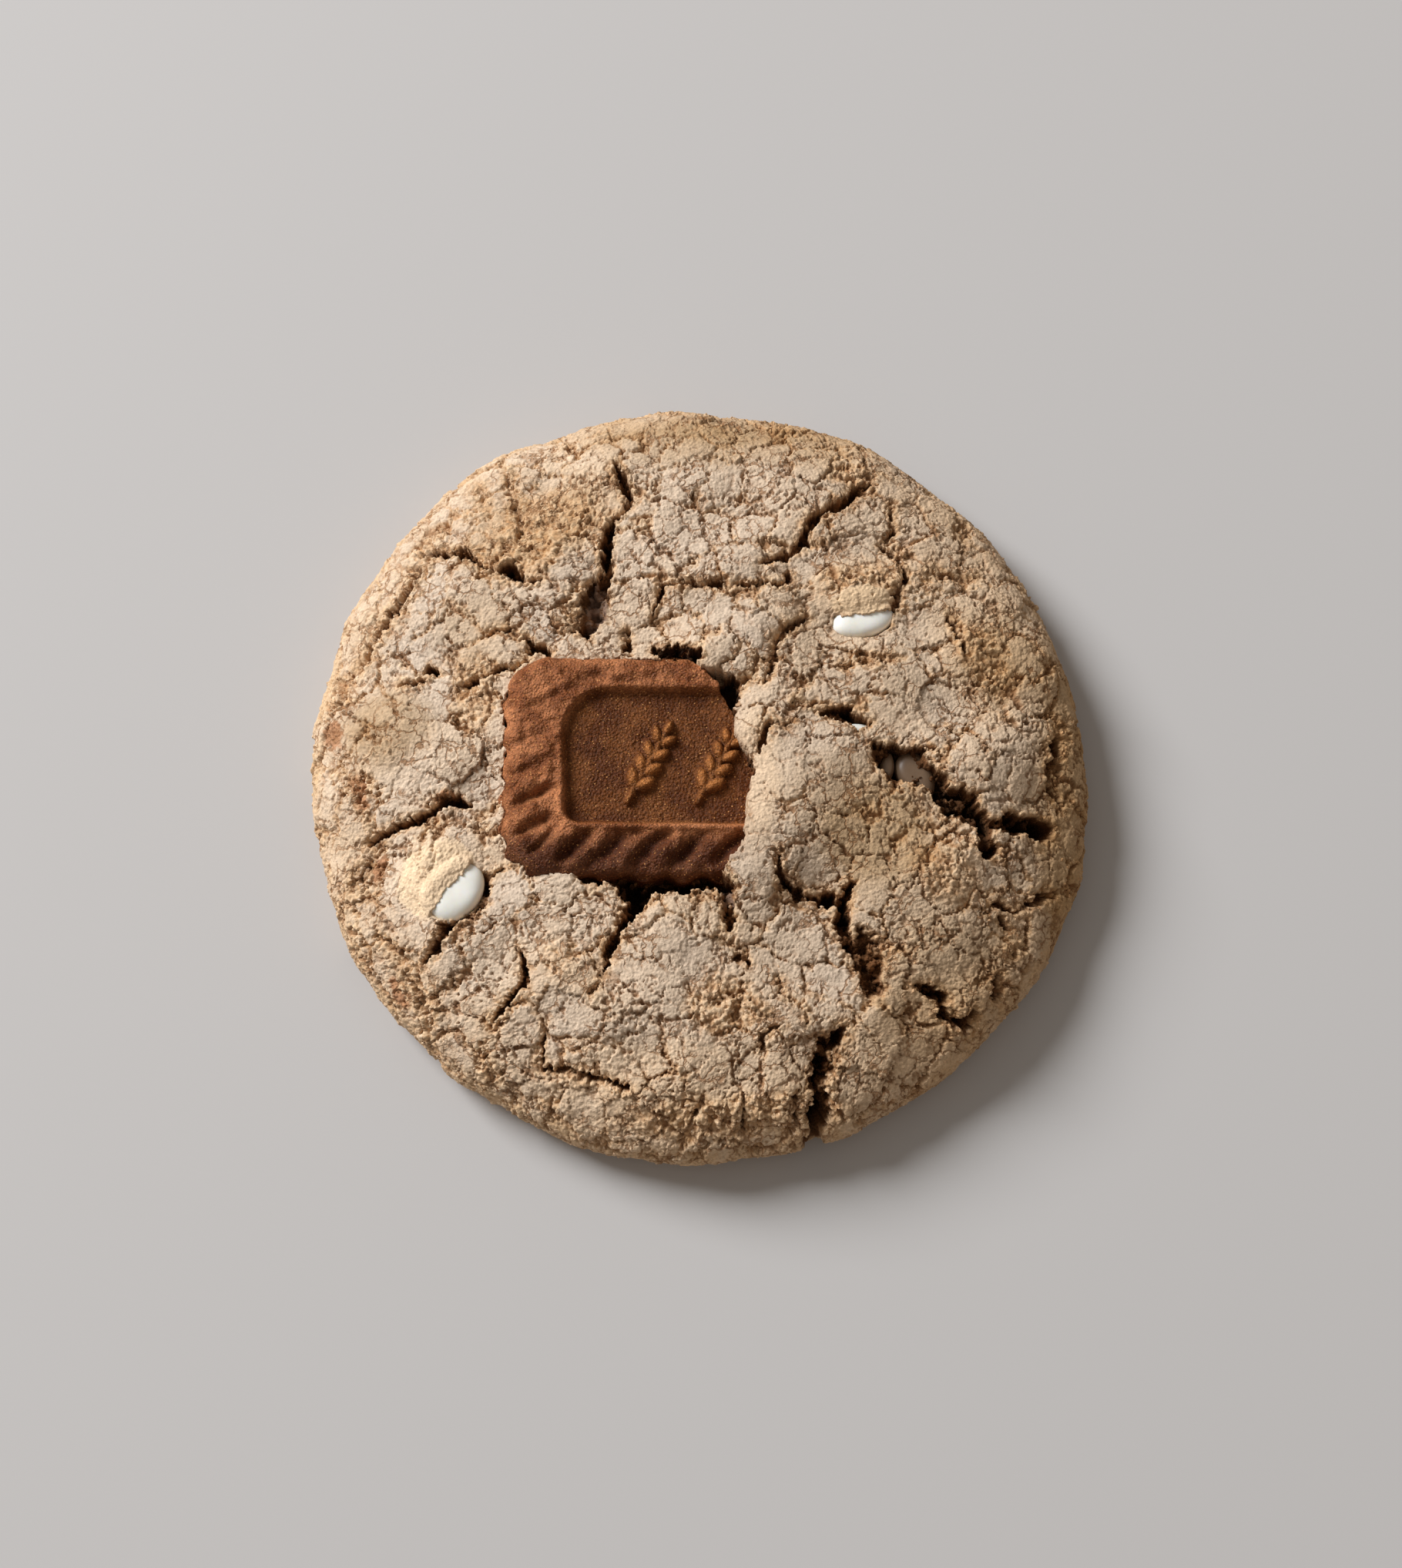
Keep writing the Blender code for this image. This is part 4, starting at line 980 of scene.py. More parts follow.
def ear_grains(foot, along, across):
    """Middle, heading and size of each grain: pairs up the stem and one at the tip."""
    grains = []
    for pair, sign in itertools.product(range(EAR_PAIRS), (1.0, -1.0)):
        middle = foot + along * (EAR_STALK + pair * EAR_PITCH)
        grains.append((middle + across * sign * 0.52 * GRAIN_WIDTH,
                       EAR_TILT + sign * GRAIN_SPREAD, 1.0 - GRAIN_SHRINK * pair))
    tip = foot + along * (EAR_STALK + (EAR_PAIRS - 0.3) * EAR_PITCH)
    return [*grains, (tip, EAR_TILT, 1.0 - GRAIN_SHRINK * EAR_PAIRS)]


def ear_height(x, y):
    """Height of the ears of wheat over the panel."""
    rise = np.zeros_like(x)
    along = np.array([math.cos(EAR_TILT), math.sin(EAR_TILT)])
    across = np.array([-along[1], along[0]])
    length = EAR_STALK + EAR_PAIRS * EAR_PITCH
    for foot_x, foot_y in EAR_FEET:
        foot = np.array([foot_x - BISCUIT_LEFT - 0.5 * BISCUIT_LENGTH, foot_y - BISCUIT_MIDDLE_Y])
        for middle, heading, size in ear_grains(foot, along, across):
            radii = (0.56 * GRAIN_LENGTH * size, 0.6 * GRAIN_WIDTH * size)
            share = turned(x, y, middle, radii, math.degrees(heading))
            rise = np.maximum(rise, GRAIN_RISE * np.clip(1.0 - share**2, 0.0, 1.0) ** ROUNDNESS)
        on_stem = np.clip((x - foot[0]) * along[0] + (y - foot[1]) * along[1], 0.0, length)
        off = np.hypot(x - foot[0] - on_stem * along[0], y - foot[1] - on_stem * along[1])
        stem = np.clip(1.0 - (1.7 * off / STEM_WIDTH) ** 2, 0.0, 1.0) ** ROUNDNESS
        rise = np.maximum(rise, STEM_RISE * stem)
    return rise


print("ears of wheat:", len(EAR_FEET), "with", 2 * EAR_PAIRS + 1, "grains each")

# %% Height of the biscuit
EDGE_ROUND, FRONT_ROUND = 2.5, 1.8
GROOVE_DEPTH, GROOVE_LEFT_LESS = 1.4, 0.25
GROOVE_NARROWNESS, LEFT_NARROWNESS = 1.5, 1.1
FRAME_SWELL, FRAME_LUMPS = 0.30, 0.45
RIDGE_HEIGHT, RIDGE_PLACE, RIDGE_WIDTH = 0.5, 0.6, 0.5
PANEL_DEPTH, PANEL_SAG = 1.15, 0.1


def biscuit_height(x, y):
    """Height of the biscuit's upper face over its middle plane, with its masks."""
    inward = -box_distance(x, y, BISCUIT_LENGTH, BISCUIT_WIDTH, BISCUIT_CORNER)
    shifted = y - PANEL_SHIFT
    corner = np.where(shifted > 0.0, PANEL_CORNERS[1], PANEL_CORNERS[0])
    panel = box_distance(x, shifted, PANEL_LENGTH, PANEL_WIDTH, corner)
    crisp = crispness(x, y)
    flat = flat_points(x, y)

    # the rounded edge and the frame's swell
    reach = EDGE_ROUND + FRONT_ROUND * smooth(-y, 6.0, 14.0)
    edge = 1.0 - np.clip(inward / reach, 0.0, 1.0)
    height = HALF - EDGE_ROUND * (1.0 - np.sqrt(np.maximum(1.0 - edge**2, 0.0)))
    across = np.clip(inward / np.maximum(inward + panel, 0.1), 0.0, 1.0)
    height += FRAME_SWELL * np.sin(math.pi * across) * (panel > 0.0) * (1.0 - 0.6 * crisp)

    # grooves, lumps and the narrow ridge of the frame
    on_frame = smooth(panel, 0.6, 3.0) * smooth(inward, 0.6, 3.2)
    uneven = 1.0 + 0.45 * waves(flat, 3.0, 87)
    narrow = GROOVE_NARROWNESS + LEFT_NARROWNESS * on_left_end(x)
    groove = (0.5 + 0.5 * groove_wave(x, y)) ** narrow * on_frame * (0.16 + 0.84 * crisp) * uneven
    groove *= 1.0 - GROOVE_LEFT_LESS * on_left_end(x)
    height -= GROOVE_DEPTH * groove
    height += FRAME_LUMPS * fractal(flat, 2.2, 2, 88, 0.5) * smooth(panel, 0.0, 1.5)
    ridge = np.exp(-((panel - RIDGE_PLACE) / RIDGE_WIDTH) ** 2)
    height += RIDGE_HEIGHT * (0.15 + 0.85 * crisp) * ridge

    # the sunken panel with its ears, and the broken corner
    floor = 1.0 - smooth(panel, -0.7 + 0.2 * crisp, 0.9 - 0.5 * crisp)
    height -= (PANEL_DEPTH + PANEL_SAG * smooth(panel, -6.0, -1.0)) * floor
    height += ear_height(x, y) * floor
    height -= BITE_DEPTH * smooth(bite(x, y), 0.0, 0.7)
    return height, groove, floor


print("panel below the frame in mm:", PANEL_DEPTH)

# %% Outline of the biscuit
LOOP_STEP = 0.2
BREAK_X = 8.8
LEFT_X, BROKEN_X = -0.5 * BISCUIT_LENGTH, BREAK_X - BISCUIT_LEFT - 0.5 * BISCUIT_LENGTH
HALF_WIDTH = 0.5 * BISCUIT_WIDTH


def biscuit_outline():
    """Points at an even step round the piece: a straight broken end and two round corners."""
    quarter = np.radians(np.arange(0.0, 90.1, 3.0))
    upper = np.column_stack([LEFT_X + BISCUIT_CORNER - BISCUIT_CORNER * np.sin(quarter),
                             HALF_WIDTH - BISCUIT_CORNER + BISCUIT_CORNER * np.cos(quarter)])
    path = np.vstack([[(BROKEN_X, -HALF_WIDTH)], [(BROKEN_X, HALF_WIDTH)], upper,
                      upper[::-1] * (1.0, -1.0), [(BROKEN_X, -HALF_WIDTH)]])
    along = np.append(0.0, np.cumsum(np.hypot(*np.diff(path, axis=0).T)))
    count = 2 * round(0.5 * along[-1] / LOOP_STEP)
    places = np.linspace(0.0, along[-1], count, endpoint=False)
    return np.column_stack([np.interp(places, along, path[:, axis]) for axis in (0, 1)])


outline = biscuit_outline()
spine = np.column_stack([np.clip(outline[:, 0], LEFT_X + HALF_WIDTH, BROKEN_X - 6.0),
                         np.zeros(len(outline))])
print("points round the biscuit:", len(outline))

# %% Loops of the biscuit
UNDER_LOOPS, EDGE_LOOPS, TOP_LOOPS = 11, 26, 74
SCALLOP_DEPTH = 0.5
UNDER, EDGE, TOP = -1.0, 0.0, 1.0


def biscuit_levels():
    """Each loop's share of the way in to the spine, its height, and the side that it is on."""
    edge_height = BISCUIT_THICKNESS - EDGE_ROUND
    under = [(0.10 * share, -HALF, UNDER) for share in np.linspace(1.0, 0.0, UNDER_LOOPS + 1)[:-1]]
    edge = [(0.0, -HALF + rise * edge_height, EDGE) for rise in np.linspace(0.0, 1.0, EDGE_LOOPS)]
    return under + edge + [(share / TOP_LOOPS, 0.0, TOP) for share in range(1, TOP_LOOPS + 1)]


levels = biscuit_levels()
outer_wave = groove_wave(outline[:, 0], outline[:, 1])
biscuit_points = []
for share, height, _ in levels:
    loop = outline * (1.0 - share) + spine * share
    scallop = SCALLOP_DEPTH * (1.0 - smooth(np.full(len(loop), share), 0.0, 0.25))
    loop *= (1.0 - scallop * outer_wave / np.linalg.norm(outline, axis=1))[:, None]
    biscuit_points.append(np.column_stack([loop, np.full(len(loop), height)]))
biscuit_points = np.vstack(biscuit_points)
sides = np.repeat([side for _, _, side in levels], len(outline))
print("loops of the biscuit:", len(levels))

# %% Faces and masks of the biscuit
on_top = sides == TOP
top_height, groove_mask, panel_mask = biscuit_height(biscuit_points[:, 0], biscuit_points[:, 1])
biscuit_points[on_top, 2] = top_height[on_top]
sand = 0.07 * fractal(biscuit_points, 0.8, 2, 81, 0.7) + 0.16 * fractal(biscuit_points, 3.6, 2, 83)
biscuit_points[:, 2] += np.where(on_top, sand, 0.0)
biscuit_points[:, 1] += np.where(sides == EDGE, 0.8 * sand * np.sign(biscuit_points[:, 1]), 0.0)
biscuit_masks = {
    # groove: the frame's grooves, painted darker as shade
    "groove": np.where(on_top, groove_mask, 0.0) * (1.0 - 0.5 * on_left_end(biscuit_points[:, 0])),
    "panel": np.where(on_top, panel_mask, 0.0),
    # raised: the ears over the panel, painted lighter as a highlight
    "raised": np.where(on_top, smooth(top_height, HALF - 0.75, HALF + 0.3), 0.4),
    # gap: the broken corner under the crust's edge, painted near black as shade
    "gap": smooth(bite(biscuit_points[:, 0], biscuit_points[:, 1]), 0.05, 0.5),
    # front: the lower edge, turned away from the window, painted darker as shade
    "front": smooth(-biscuit_points[:, 1], 8.0, 12.5),
}
loop_size = len(outline)
biscuit_faces = []
for start in range(0, loop_size * (len(levels) - 1), loop_size):
    biscuit_faces += ring_faces(range(start + loop_size, start + 2 * loop_size),
                                range(start, start + loop_size))
print("biscuit:", len(biscuit_points), "points,", len(biscuit_faces), "triangles")

# %% [markdown]
# The last loop has shrunk to a line, where its two sides meet, so its doubled points are
# merged, and the first loop, on the hidden underside, is closed with one fan of triangles.

# %% Biscuit in its bed
BISCUIT_TOP, BISCUIT_REST_X, BISCUIT_TILT = 15.9, -7.0, math.radians(2.5)
MERGE_GAP = 0.00002
fan = len(biscuit_points)
biscuit_points = np.vstack([biscuit_points, (spine[:, 0].mean(), 0.0, -HALF)])
biscuit_faces += [(step, (step + 1) % loop_size, fan) for step in range(loop_size)]
c, s = math.cos(BISCUIT_TILT), math.sin(BISCUIT_TILT)
from_rest = biscuit_points[:, 0] + BISCUIT_LEFT + 0.5 * BISCUIT_LENGTH - BISCUIT_REST_X
placed = np.column_stack([c * from_rest + s * biscuit_points[:, 2] + BISCUIT_REST_X,
                          biscuit_points[:, 1] + BISCUIT_MIDDLE_Y,
                          c * biscuit_points[:, 2] - s * from_rest + BISCUIT_TOP - HALF])
biscuit_mesh = make_mesh("biscuit_piece", placed, np.array(biscuit_faces))
add_masks(biscuit_mesh, {name: np.append(mask, 0.0) for name, mask in biscuit_masks.items()})
bm = bmesh.new()
bm.from_mesh(biscuit_mesh)
bmesh.ops.remove_doubles(bm, verts=bm.verts, dist=MERGE_GAP)
bmesh.ops.recalc_face_normals(bm, faces=bm.faces[:])
bm.to_mesh(biscuit_mesh)
bm.free()
biscuit_mesh.shade_smooth()
biscuit = add_object("biscuit_piece", biscuit_mesh)
print("biscuit top in mm:", round(float(placed[:, 2].max()), 2))

# %% [markdown]
# ## White chips
# Small drops of white confectionery that kept their shape in the oven. An ico sphere with
# its shoulders filled out, and drawn to a blunt point at one end, is close to one. A little
# waviness keeps it from looking turned on a lathe. Each stands for the solid of its name.

# %% Chips
# The chips down in the gash are painted brown: partly a coat of dough, partly painted shade, as they
# lie in the gash's shadow.
COATED_AND_SHADED_CHIPS = ("chip_gash", "chip_gash_small")
CHIPS = {
    # middle, then length, width and height, turn in degrees, and how pointed one end is
    "chip_left": ((-33.1, -18.4, 12.6), (9.0, 7.2, 4.6), 50.0, 0.12),
    "chip_right": ((22.5, 20.1, 12.5), (8.8, 5.4, 4.8), 12.0, 0.2),
    "chip_hole": ((21.2, 3.9, 12.4), (5.4, 3.6, 3.6), 10.0, 0.35),
    "chip_gash": ((29.6, -1.6, 10.6), (7.2, 5.6, 4.8), -60.0, 0.25),
    "chip_gash_small": ((25.6, -0.5, 11.4), (4.0, 2.4, 3.6), 80.0, 0.3),
}
chip_pieces = []
for number, (name, (middle, full, turn, point)) in enumerate(CHIPS.items()):
    bm = bmesh.new()
    bmesh.ops.create_icosphere(bm, subdivisions=5, radius=0.5)
    ball = np.array([vertex.co for vertex in bm.verts])
    wide = np.hypot(ball[:, 0], ball[:, 1])
    fuller = (wide**CHIP_FLATNESS + np.abs(ball[:, 2]) ** CHIP_FLATNESS) ** (-1 / CHIP_FLATNESS)
    ball *= (0.5 * fuller)[:, None]
    ball *= 1.0 + 0.03 * waves(ball + 5.0 * number, 0.45, 90)[:, None]
    ball[:, 1:] *= 1.0 - point * (ball[:, :1] + 0.5)
    ball *= full
    c, s = math.cos(math.radians(turn)), math.sin(math.radians(turn))
    ball = np.column_stack([c * ball[:, 0] - s * ball[:, 1], s * ball[:, 0] + c * ball[:, 1],
                            ball[:, 2]]) + middle
    faces = np.array([[vertex.index for vertex in face.verts] for face in bm.faces])
    bm.free()
    chip_mesh = make_mesh(name + "_fine", ball, faces)
    # coat: 1 on the chips in the gash, which are painted brown as a coat of dough and as painted shade
    add_masks(chip_mesh, {"coat": np.full(len(ball), 1.0 if name in COATED_AND_SHADED_CHIPS else 0.0)})
    chip_pieces.append(add_object(name + "_fine", chip_mesh))
print("chips:", len(chip_pieces))

# %% [markdown]
# ## Baked grain, a shared shader group
# Crust, biscuit and crumbs are all baked from sugar and flour, so they share one group: fine
# noise for the tone, a height for the bump, and scattered specks. It reads the object's own
# coordinates, so nothing slides. Each material sets its own sizes.

# %% Shader helpers
def new_node(tree, kind, place, **settings):
    """Adds a node with settings."""
    node = tree.nodes.new(kind)
    node.location = place
    for name, value in settings.items():
        setattr(node, name, value)
    return node


def fill(node, **values):
    """Sets the inputs of a node that aren't linked; an underscore stands for a blank."""
    for name, value in values.items():
        node.inputs[name.replace("_", " ")].default_value = value


def mix_colors(tree, place, share, first, second, blend="MIX"):
    """Mixes two colours, each a socket or a value, by a socket or a number."""
    node = new_node(tree, "ShaderNodeMix", place, data_type="RGBA", blend_type=blend)
    for socket, value in ((node.inputs[0], share), (node.inputs[6], first), (node.inputs[7], second)):
        if isinstance(value, bpy.types.NodeSocket):
            tree.links.new(value, socket)
        elif isinstance(value, tuple):
            socket.default_value = (*value, 1.0)
        else:
            socket.default_value = value
    return node.outputs[2]


def lay_colors(tree, left, color, layers):
    """Lays colours over a first one in turn, each by its own share."""
    for number, (share, layer) in enumerate(layers):
        color = mix_colors(tree, (left + 160 * number, 600), share, color, layer)
    return color


def remap(tree, place, value, low, high, to_low=0.0, to_high=1.0):
    """Maps a socket's value from one range to another, smoothly and within bounds."""
    node = new_node(tree, "ShaderNodeMapRange", place, interpolation_type="SMOOTHSTEP")
    tree.links.new(value, node.inputs["Value"])
    fill(node, From_Min=low, From_Max=high, To_Min=to_low, To_Max=to_high)
    return node.outputs["Result"]


def calculate(tree, place, operation, *values):
    """The result of one operation on sockets and numbers."""
    node = new_node(tree, "ShaderNodeMath", place, operation=operation)
    for socket, value in zip(node.inputs, values):
        if isinstance(value, bpy.types.NodeSocket):
            tree.links.new(value, socket)
        else:
            socket.default_value = value
    return node.outputs[0]


def mask_sockets(tree, left, *names):
    """The values of the masks stored on the mesh, from a column of nodes."""
    sockets = []
    for row, name in enumerate(names):
        node = new_node(tree, "ShaderNodeAttribute", (left, 900 - 180 * row), attribute_name=name)
        sockets.append(node.outputs["Fac"])
    return sockets


print("shader helpers are ready")

# %% Baked grain group
GRAIN_INPUTS = {"Grains per metre": 2600.0, "Specks per metre": 900.0, "Speck share": 0.12}
grain_group = bpy.data.node_groups.new("Baked grain", "ShaderNodeTree")
for name, default in GRAIN_INPUTS.items():
    socket = grain_group.interface.new_socket(name, in_out="INPUT", socket_type="NodeSocketFloat")
    socket.default_value = default
for name in ("Tone", "Height", "Speck", "Mottle"):
    grain_group.interface.new_socket(name, in_out="OUTPUT", socket_type="NodeSocketFloat")
group_in = new_node(grain_group, "NodeGroupInput", (-900, 0))
group_out = new_node(grain_group, "NodeGroupOutput", (600, 0))
coordinates = new_node(grain_group, "ShaderNodeTexCoord", (-900, -260))
fine_noise = new_node(grain_group, "ShaderNodeTexNoise", (-500, 240))
fill(fine_noise, Detail=3.0, Roughness=0.65)
mottle_noise = new_node(grain_group, "ShaderNodeTexNoise", (-500, -360))
fill(mottle_noise, Scale=260.0, Detail=4.0)
speck_cells = new_node(grain_group, "ShaderNodeTexVoronoi", (-500, -60))
granules = new_node(grain_group, "ShaderNodeTexVoronoi", (-500, -620), feature="SMOOTH_F1")
for texture in (fine_noise, speck_cells, mottle_noise, granules):
    grain_group.links.new(coordinates.outputs["Object"], texture.inputs["Vector"])
grain_group.links.new(group_in.outputs["Grains per metre"], fine_noise.inputs["Scale"])
grain_group.links.new(group_in.outputs["Grains per metre"], granules.inputs["Scale"])
grain_group.links.new(group_in.outputs["Specks per metre"], speck_cells.inputs["Scale"])
grain_results = {
    "Tone": fine_noise.outputs["Fac"],
    "Height": calculate(grain_group, (-200, 300), "SUBTRACT", fine_noise.outputs["Fac"],
                        granules.outputs["Distance"]),
    "Speck": calculate(grain_group, (-200, -60), "LESS_THAN", speck_cells.outputs["Distance"],
                       group_in.outputs["Speck share"]),
    "Mottle": mottle_noise.outputs["Fac"],
}
for name, value in grain_results.items():
    grain_group.links.new(value, group_out.inputs[name])
print("shared group:", grain_group.name)

# %% Material helpers
def new_material(name, roughness, specular):
    """A material with a Principled shader, and its node tree and shader."""
    material = bpy.data.materials.new(name)
    material.use_nodes = True
    shader = material.node_tree.nodes["Principled BSDF"]
    fill(shader, Roughness=roughness, Specular_IOR_Level=specular)
    return material, material.node_tree, shader


def add_grain(tree, grains, specks, share):
    """Places the shared grain group with this finish's own sizes."""
    node = new_node(tree, "ShaderNodeGroup", (-1500, -800), node_tree=grain_group)
    fill(node, Grains_per_metre=grains, Specks_per_metre=specks, Speck_share=share)
    return node


def shade_color(tree, place, color, tone):
    """Makes a colour lighter or darker by a number from a socket."""
    gray = new_node(tree, "ShaderNodeCombineColor", place)
    for channel in ("Red", "Green", "Blue"):
        tree.links.new(tone, gray.inputs[channel])
    return mix_colors(tree, (place[0] + 200, place[1]), 1.0, color, gray.outputs["Color"],
                      "MULTIPLY")


def finish_shader(tree, shader, color, height, strength, distance):
    """Gives the shader its colour, and a bump from a height."""
    tree.links.new(color, shader.inputs["Base Color"])
    bump = new_node(tree, "ShaderNodeBump", (-250, -500))
    fill(bump, Strength=strength, Distance=distance)
    tree.links.new(height, bump.inputs["Height"])
    tree.links.new(bump.outputs["Normal"], shader.inputs["Normal"])


print("material helpers are ready")

# %% [markdown]
# ## Finish of the crust
# The plates are chalky and pale, some greyer and some yellower. Where the skin has split the
# crumb beneath is golden. Down in a crevice painted shade turns it brown and then nearly black
# at the bottom, where no light reaches, and the low places between crumbs get a deeper gold as
# painted shade too. The rim took the most heat and is golden all round. A browning mask darkens
# where the oven browned the crust more, and also paints shade over the right side, away from
# the window. The masks made with the relief steer these colours, and the grain breaks them up.
# The very finest cracks are too thin for the mesh, so the shader draws them: the edges between
# cells, bent by a noise, and broken off here and there by another.

# %% Hairlines of the crust
def add_hairlines(tree, cells_per_metre):
    """Thin broken cracks between cells whose edges a noise has bent: 1 in a crack."""
    place = new_node(tree, "ShaderNodeTexCoord", (-2300, -900))
    bend = new_node(tree, "ShaderNodeTexNoise", (-2300, -1100))
    fill(bend, Scale=2.2 * cells_per_metre, Detail=3.0)
    shift = new_node(tree, "ShaderNodeVectorMath", (-2100, -1100), operation="SCALE")
    fill(shift, Scale=0.9 / cells_per_metre)
    moved = new_node(tree, "ShaderNodeVectorMath", (-1900, -1000), operation="ADD")
    edges = new_node(tree, "ShaderNodeTexVoronoi", (-1700, -1000), feature="DISTANCE_TO_EDGE")
    fill(edges, Scale=cells_per_metre)
    gaps = new_node(tree, "ShaderNodeTexNoise", (-1700, -1300))
    fill(gaps, Scale=0.55 * cells_per_metre)
    tree.links.new(place.outputs["Object"], bend.inputs["Vector"])
    tree.links.new(bend.outputs["Color"], shift.inputs[0])
    tree.links.new(place.outputs["Object"], moved.inputs[0])
    tree.links.new(shift.outputs["Vector"], moved.inputs[1])
    tree.links.new(moved.outputs["Vector"], edges.inputs["Vector"])
    tree.links.new(place.outputs["Object"], gaps.inputs["Vector"])
    line = remap(tree, (-1500, -1000), edges.outputs["Distance"], 0.01, 0.075, 1.0, 0.0)
    kept = remap(tree, (-1500, -1300), gaps.outputs["Fac"], 0.42, 0.57)
    return calculate(tree, (-1300, -1100), "MULTIPLY", line, kept)


HAIRLINE_CELLS = 330.0
print("hairlines about", round(1.0 / HAIRLINE_CELLS / MM, 1), "mm apart")

# %% Crust material
CHALK_COOL, CHALK_WARM = (0.68, 0.545, 0.425), (0.76, 0.575, 0.405)
GOLD_PALE, GOLD_DEEP = (0.79, 0.575, 0.37), (0.58, 0.335, 0.16)
RIM_GOLD = (0.685, 0.465, 0.27)
# The two colours that crevices take with depth, brown and then nearly black, are painted shade.
CRACK_BROWN, DEPTH_SHADE_BROWN, DEPTH_SHADE_DARK = (0.33, 0.165, 0.075), (0.17, 0.075, 0.03), (0.032, 0.014, 0.006)
PASTE, DOUGH_CREAM, EMBER_RED = (0.25, 0.16, 0.115), (0.90, 0.67, 0.44), (0.45, 0.20, 0.09)
# multiplied in by the browning mask, which is partly real browning and partly painted shade
PALE_BAKE, BROWN_BAKE_AND_SHADE = (1.0, 1.0, 1.0), (0.69, 0.605, 0.475)


def depth_shade_shares(tree, left, depth):
    """How much painted shade a crevice gets at each depth: brown, then nearly black."""
    return (remap(tree, (left, 100), depth, 0.05, 0.28), remap(tree, (left, -100), depth, 0.25, 0.75))


crust, tree, shader = new_material("Cracked crust", 0.9, 0.15)
grain = add_grain(tree, 2400.0, 650.0, 0.13)
warmth, grit, crumb, rim, hollow, dough, ember, crack, depth, paste, bake_and_shade = mask_sockets(
    tree, -1700, "warmth", "grit", "crumb", "rim", "hollow", "dough", "ember", "crack", "depth",
    "paste", "bake_and_shade")
shade_brown_share, shade_dark_share = depth_shade_shares(tree, -1300, depth)
mottle = remap(tree, (-1300, -700), grain.outputs["Mottle"], 0.30, 0.62, 0.2, 0.8)
hairs = calculate(tree, (-1000, -1100), "MULTIPLY", add_hairlines(tree, HAIRLINE_CELLS),
                  remap(tree, (-1300, -900), dough, 0.1, 0.6, 1.0, 0.0))
color = lay_colors(tree, -1000, mix_colors(tree, (-1300, 900), warmth, CHALK_COOL, CHALK_WARM), (
    (remap(tree, (-1300, 500), crumb, 0.15, 0.9, 0.0, 0.8),
     mix_colors(tree, (-1300, 700), grit, GOLD_DEEP, GOLD_PALE)),
    (calculate(tree, (-1100, -300), "MULTIPLY", rim, mottle), RIM_GOLD),
    # painted shade: a deeper gold in the low places between crumbs
    (remap(tree, (-1300, 300), hollow, 0.5, 0.95, 0.0, 0.6), GOLD_DEEP),
    (calculate(tree, (-1100, 200), "MULTIPLY", dough, 0.85), DOUGH_CREAM),
    (calculate(tree, (-1100, 0), "MULTIPLY", ember, 0.8), EMBER_RED),
    (calculate(tree, (-1100, -100), "MULTIPLY", crack, 0.8), CRACK_BROWN),
    # painted shade in the crevices: brown a little way down, nearly black deeper
    (shade_brown_share, DEPTH_SHADE_BROWN),
    (shade_dark_share, DEPTH_SHADE_DARK),
    (paste, PASTE),
    (calculate(tree, (-800, -900), "MULTIPLY", hairs, 0.8), CRACK_BROWN),
))
# the browning mask darkens the colour: real browning, and painted shade on the right side, away from
# the window
baked = mix_colors(tree, (600, 900), bake_and_shade, PALE_BAKE, BROWN_BAKE_AND_SHADE)
color = mix_colors(tree, (800, 600), 1.0, color, baked, "MULTIPLY")
tone = remap(tree, (-700, -300), grain.outputs["Tone"], 0.3, 0.7, 0.82, 1.12)
height = calculate(tree, (-500, -700), "SUBTRACT", grain.outputs["Height"], hairs)
finish_shader(tree, shader, shade_color(tree, (800, 300), color, tone), height, 0.55, 0.0003)
for piece in skin_pieces[:-1]:
    piece.data.materials.append(crust)
print("crust finish on", [piece.name for piece in skin_pieces[:-1]])

# %% [markdown]
# ## Finish of the underside
# Dough that touched the tray is evenly browned, with a faint mottle, and paler in the pores.
# The same grain gives it its sandy touch.

# %% Underside material
TRAY_BROWN, TRAY_GOLD, PORE_GOLD = (0.36, 0.18, 0.07), (0.46, 0.26, 0.115), (0.54, 0.36, 0.19)

base_finish, tree, shader = new_material("Baked underside", 0.8, 0.3)
grain = add_grain(tree, 1800.0, 500.0, 0.12)
depth = mask_sockets(tree, -1300, "depth")[0]
mottle = remap(tree, (-1000, 300), grain.outputs["Mottle"], 0.35, 0.65)
color = mix_colors(tree, (-700, 300), mottle, TRAY_BROWN, TRAY_GOLD)
pit = remap(tree, (-1000, 0), depth, 0.03, 0.18)
color = mix_colors(tree, (-500, 300), pit, color, PORE_GOLD)
finish_shader(tree, shader, color, grain.outputs["Height"], 0.5, 0.0002)
skin_pieces[-1].data.materials.append(base_finish)
print("underside finish:", base_finish.name)

# %% [markdown]
# ## Finish of the biscuit
# Caramelised sugar makes it reddish brown, darkest in the sunken panel, lighter and redder
# on the raised frame, with fine pale sugar grains, painted brighter here and there as glints.
# Painted shade darkens the frame's grooves, its lower edge and the broken corner under the
# crust's edge, and the raised ears are painted lighter as a highlight.

# %% Biscuit material
FRAME_BROWN, FRAME_LIGHT = (0.215, 0.065, 0.019), (0.46, 0.175, 0.070)
PANEL_BROWN, PANEL_PALE_AND_HIGHLIGHT = (0.098, 0.025, 0.003), (0.42, 0.155, 0.04)
# The groove and front browns are painted shade, in the frame's grooves and on the lower edge turned
# away from the window.
GROOVE_SHADE_BROWN, FRONT_SHADE_BROWN = (0.075, 0.018, 0.004), (0.055, 0.012, 0.003)
GAP_SHADE_DARK = (0.015, 0.006, 0.003)
SUGAR_GLINT = (0.60, 0.30, 0.10)

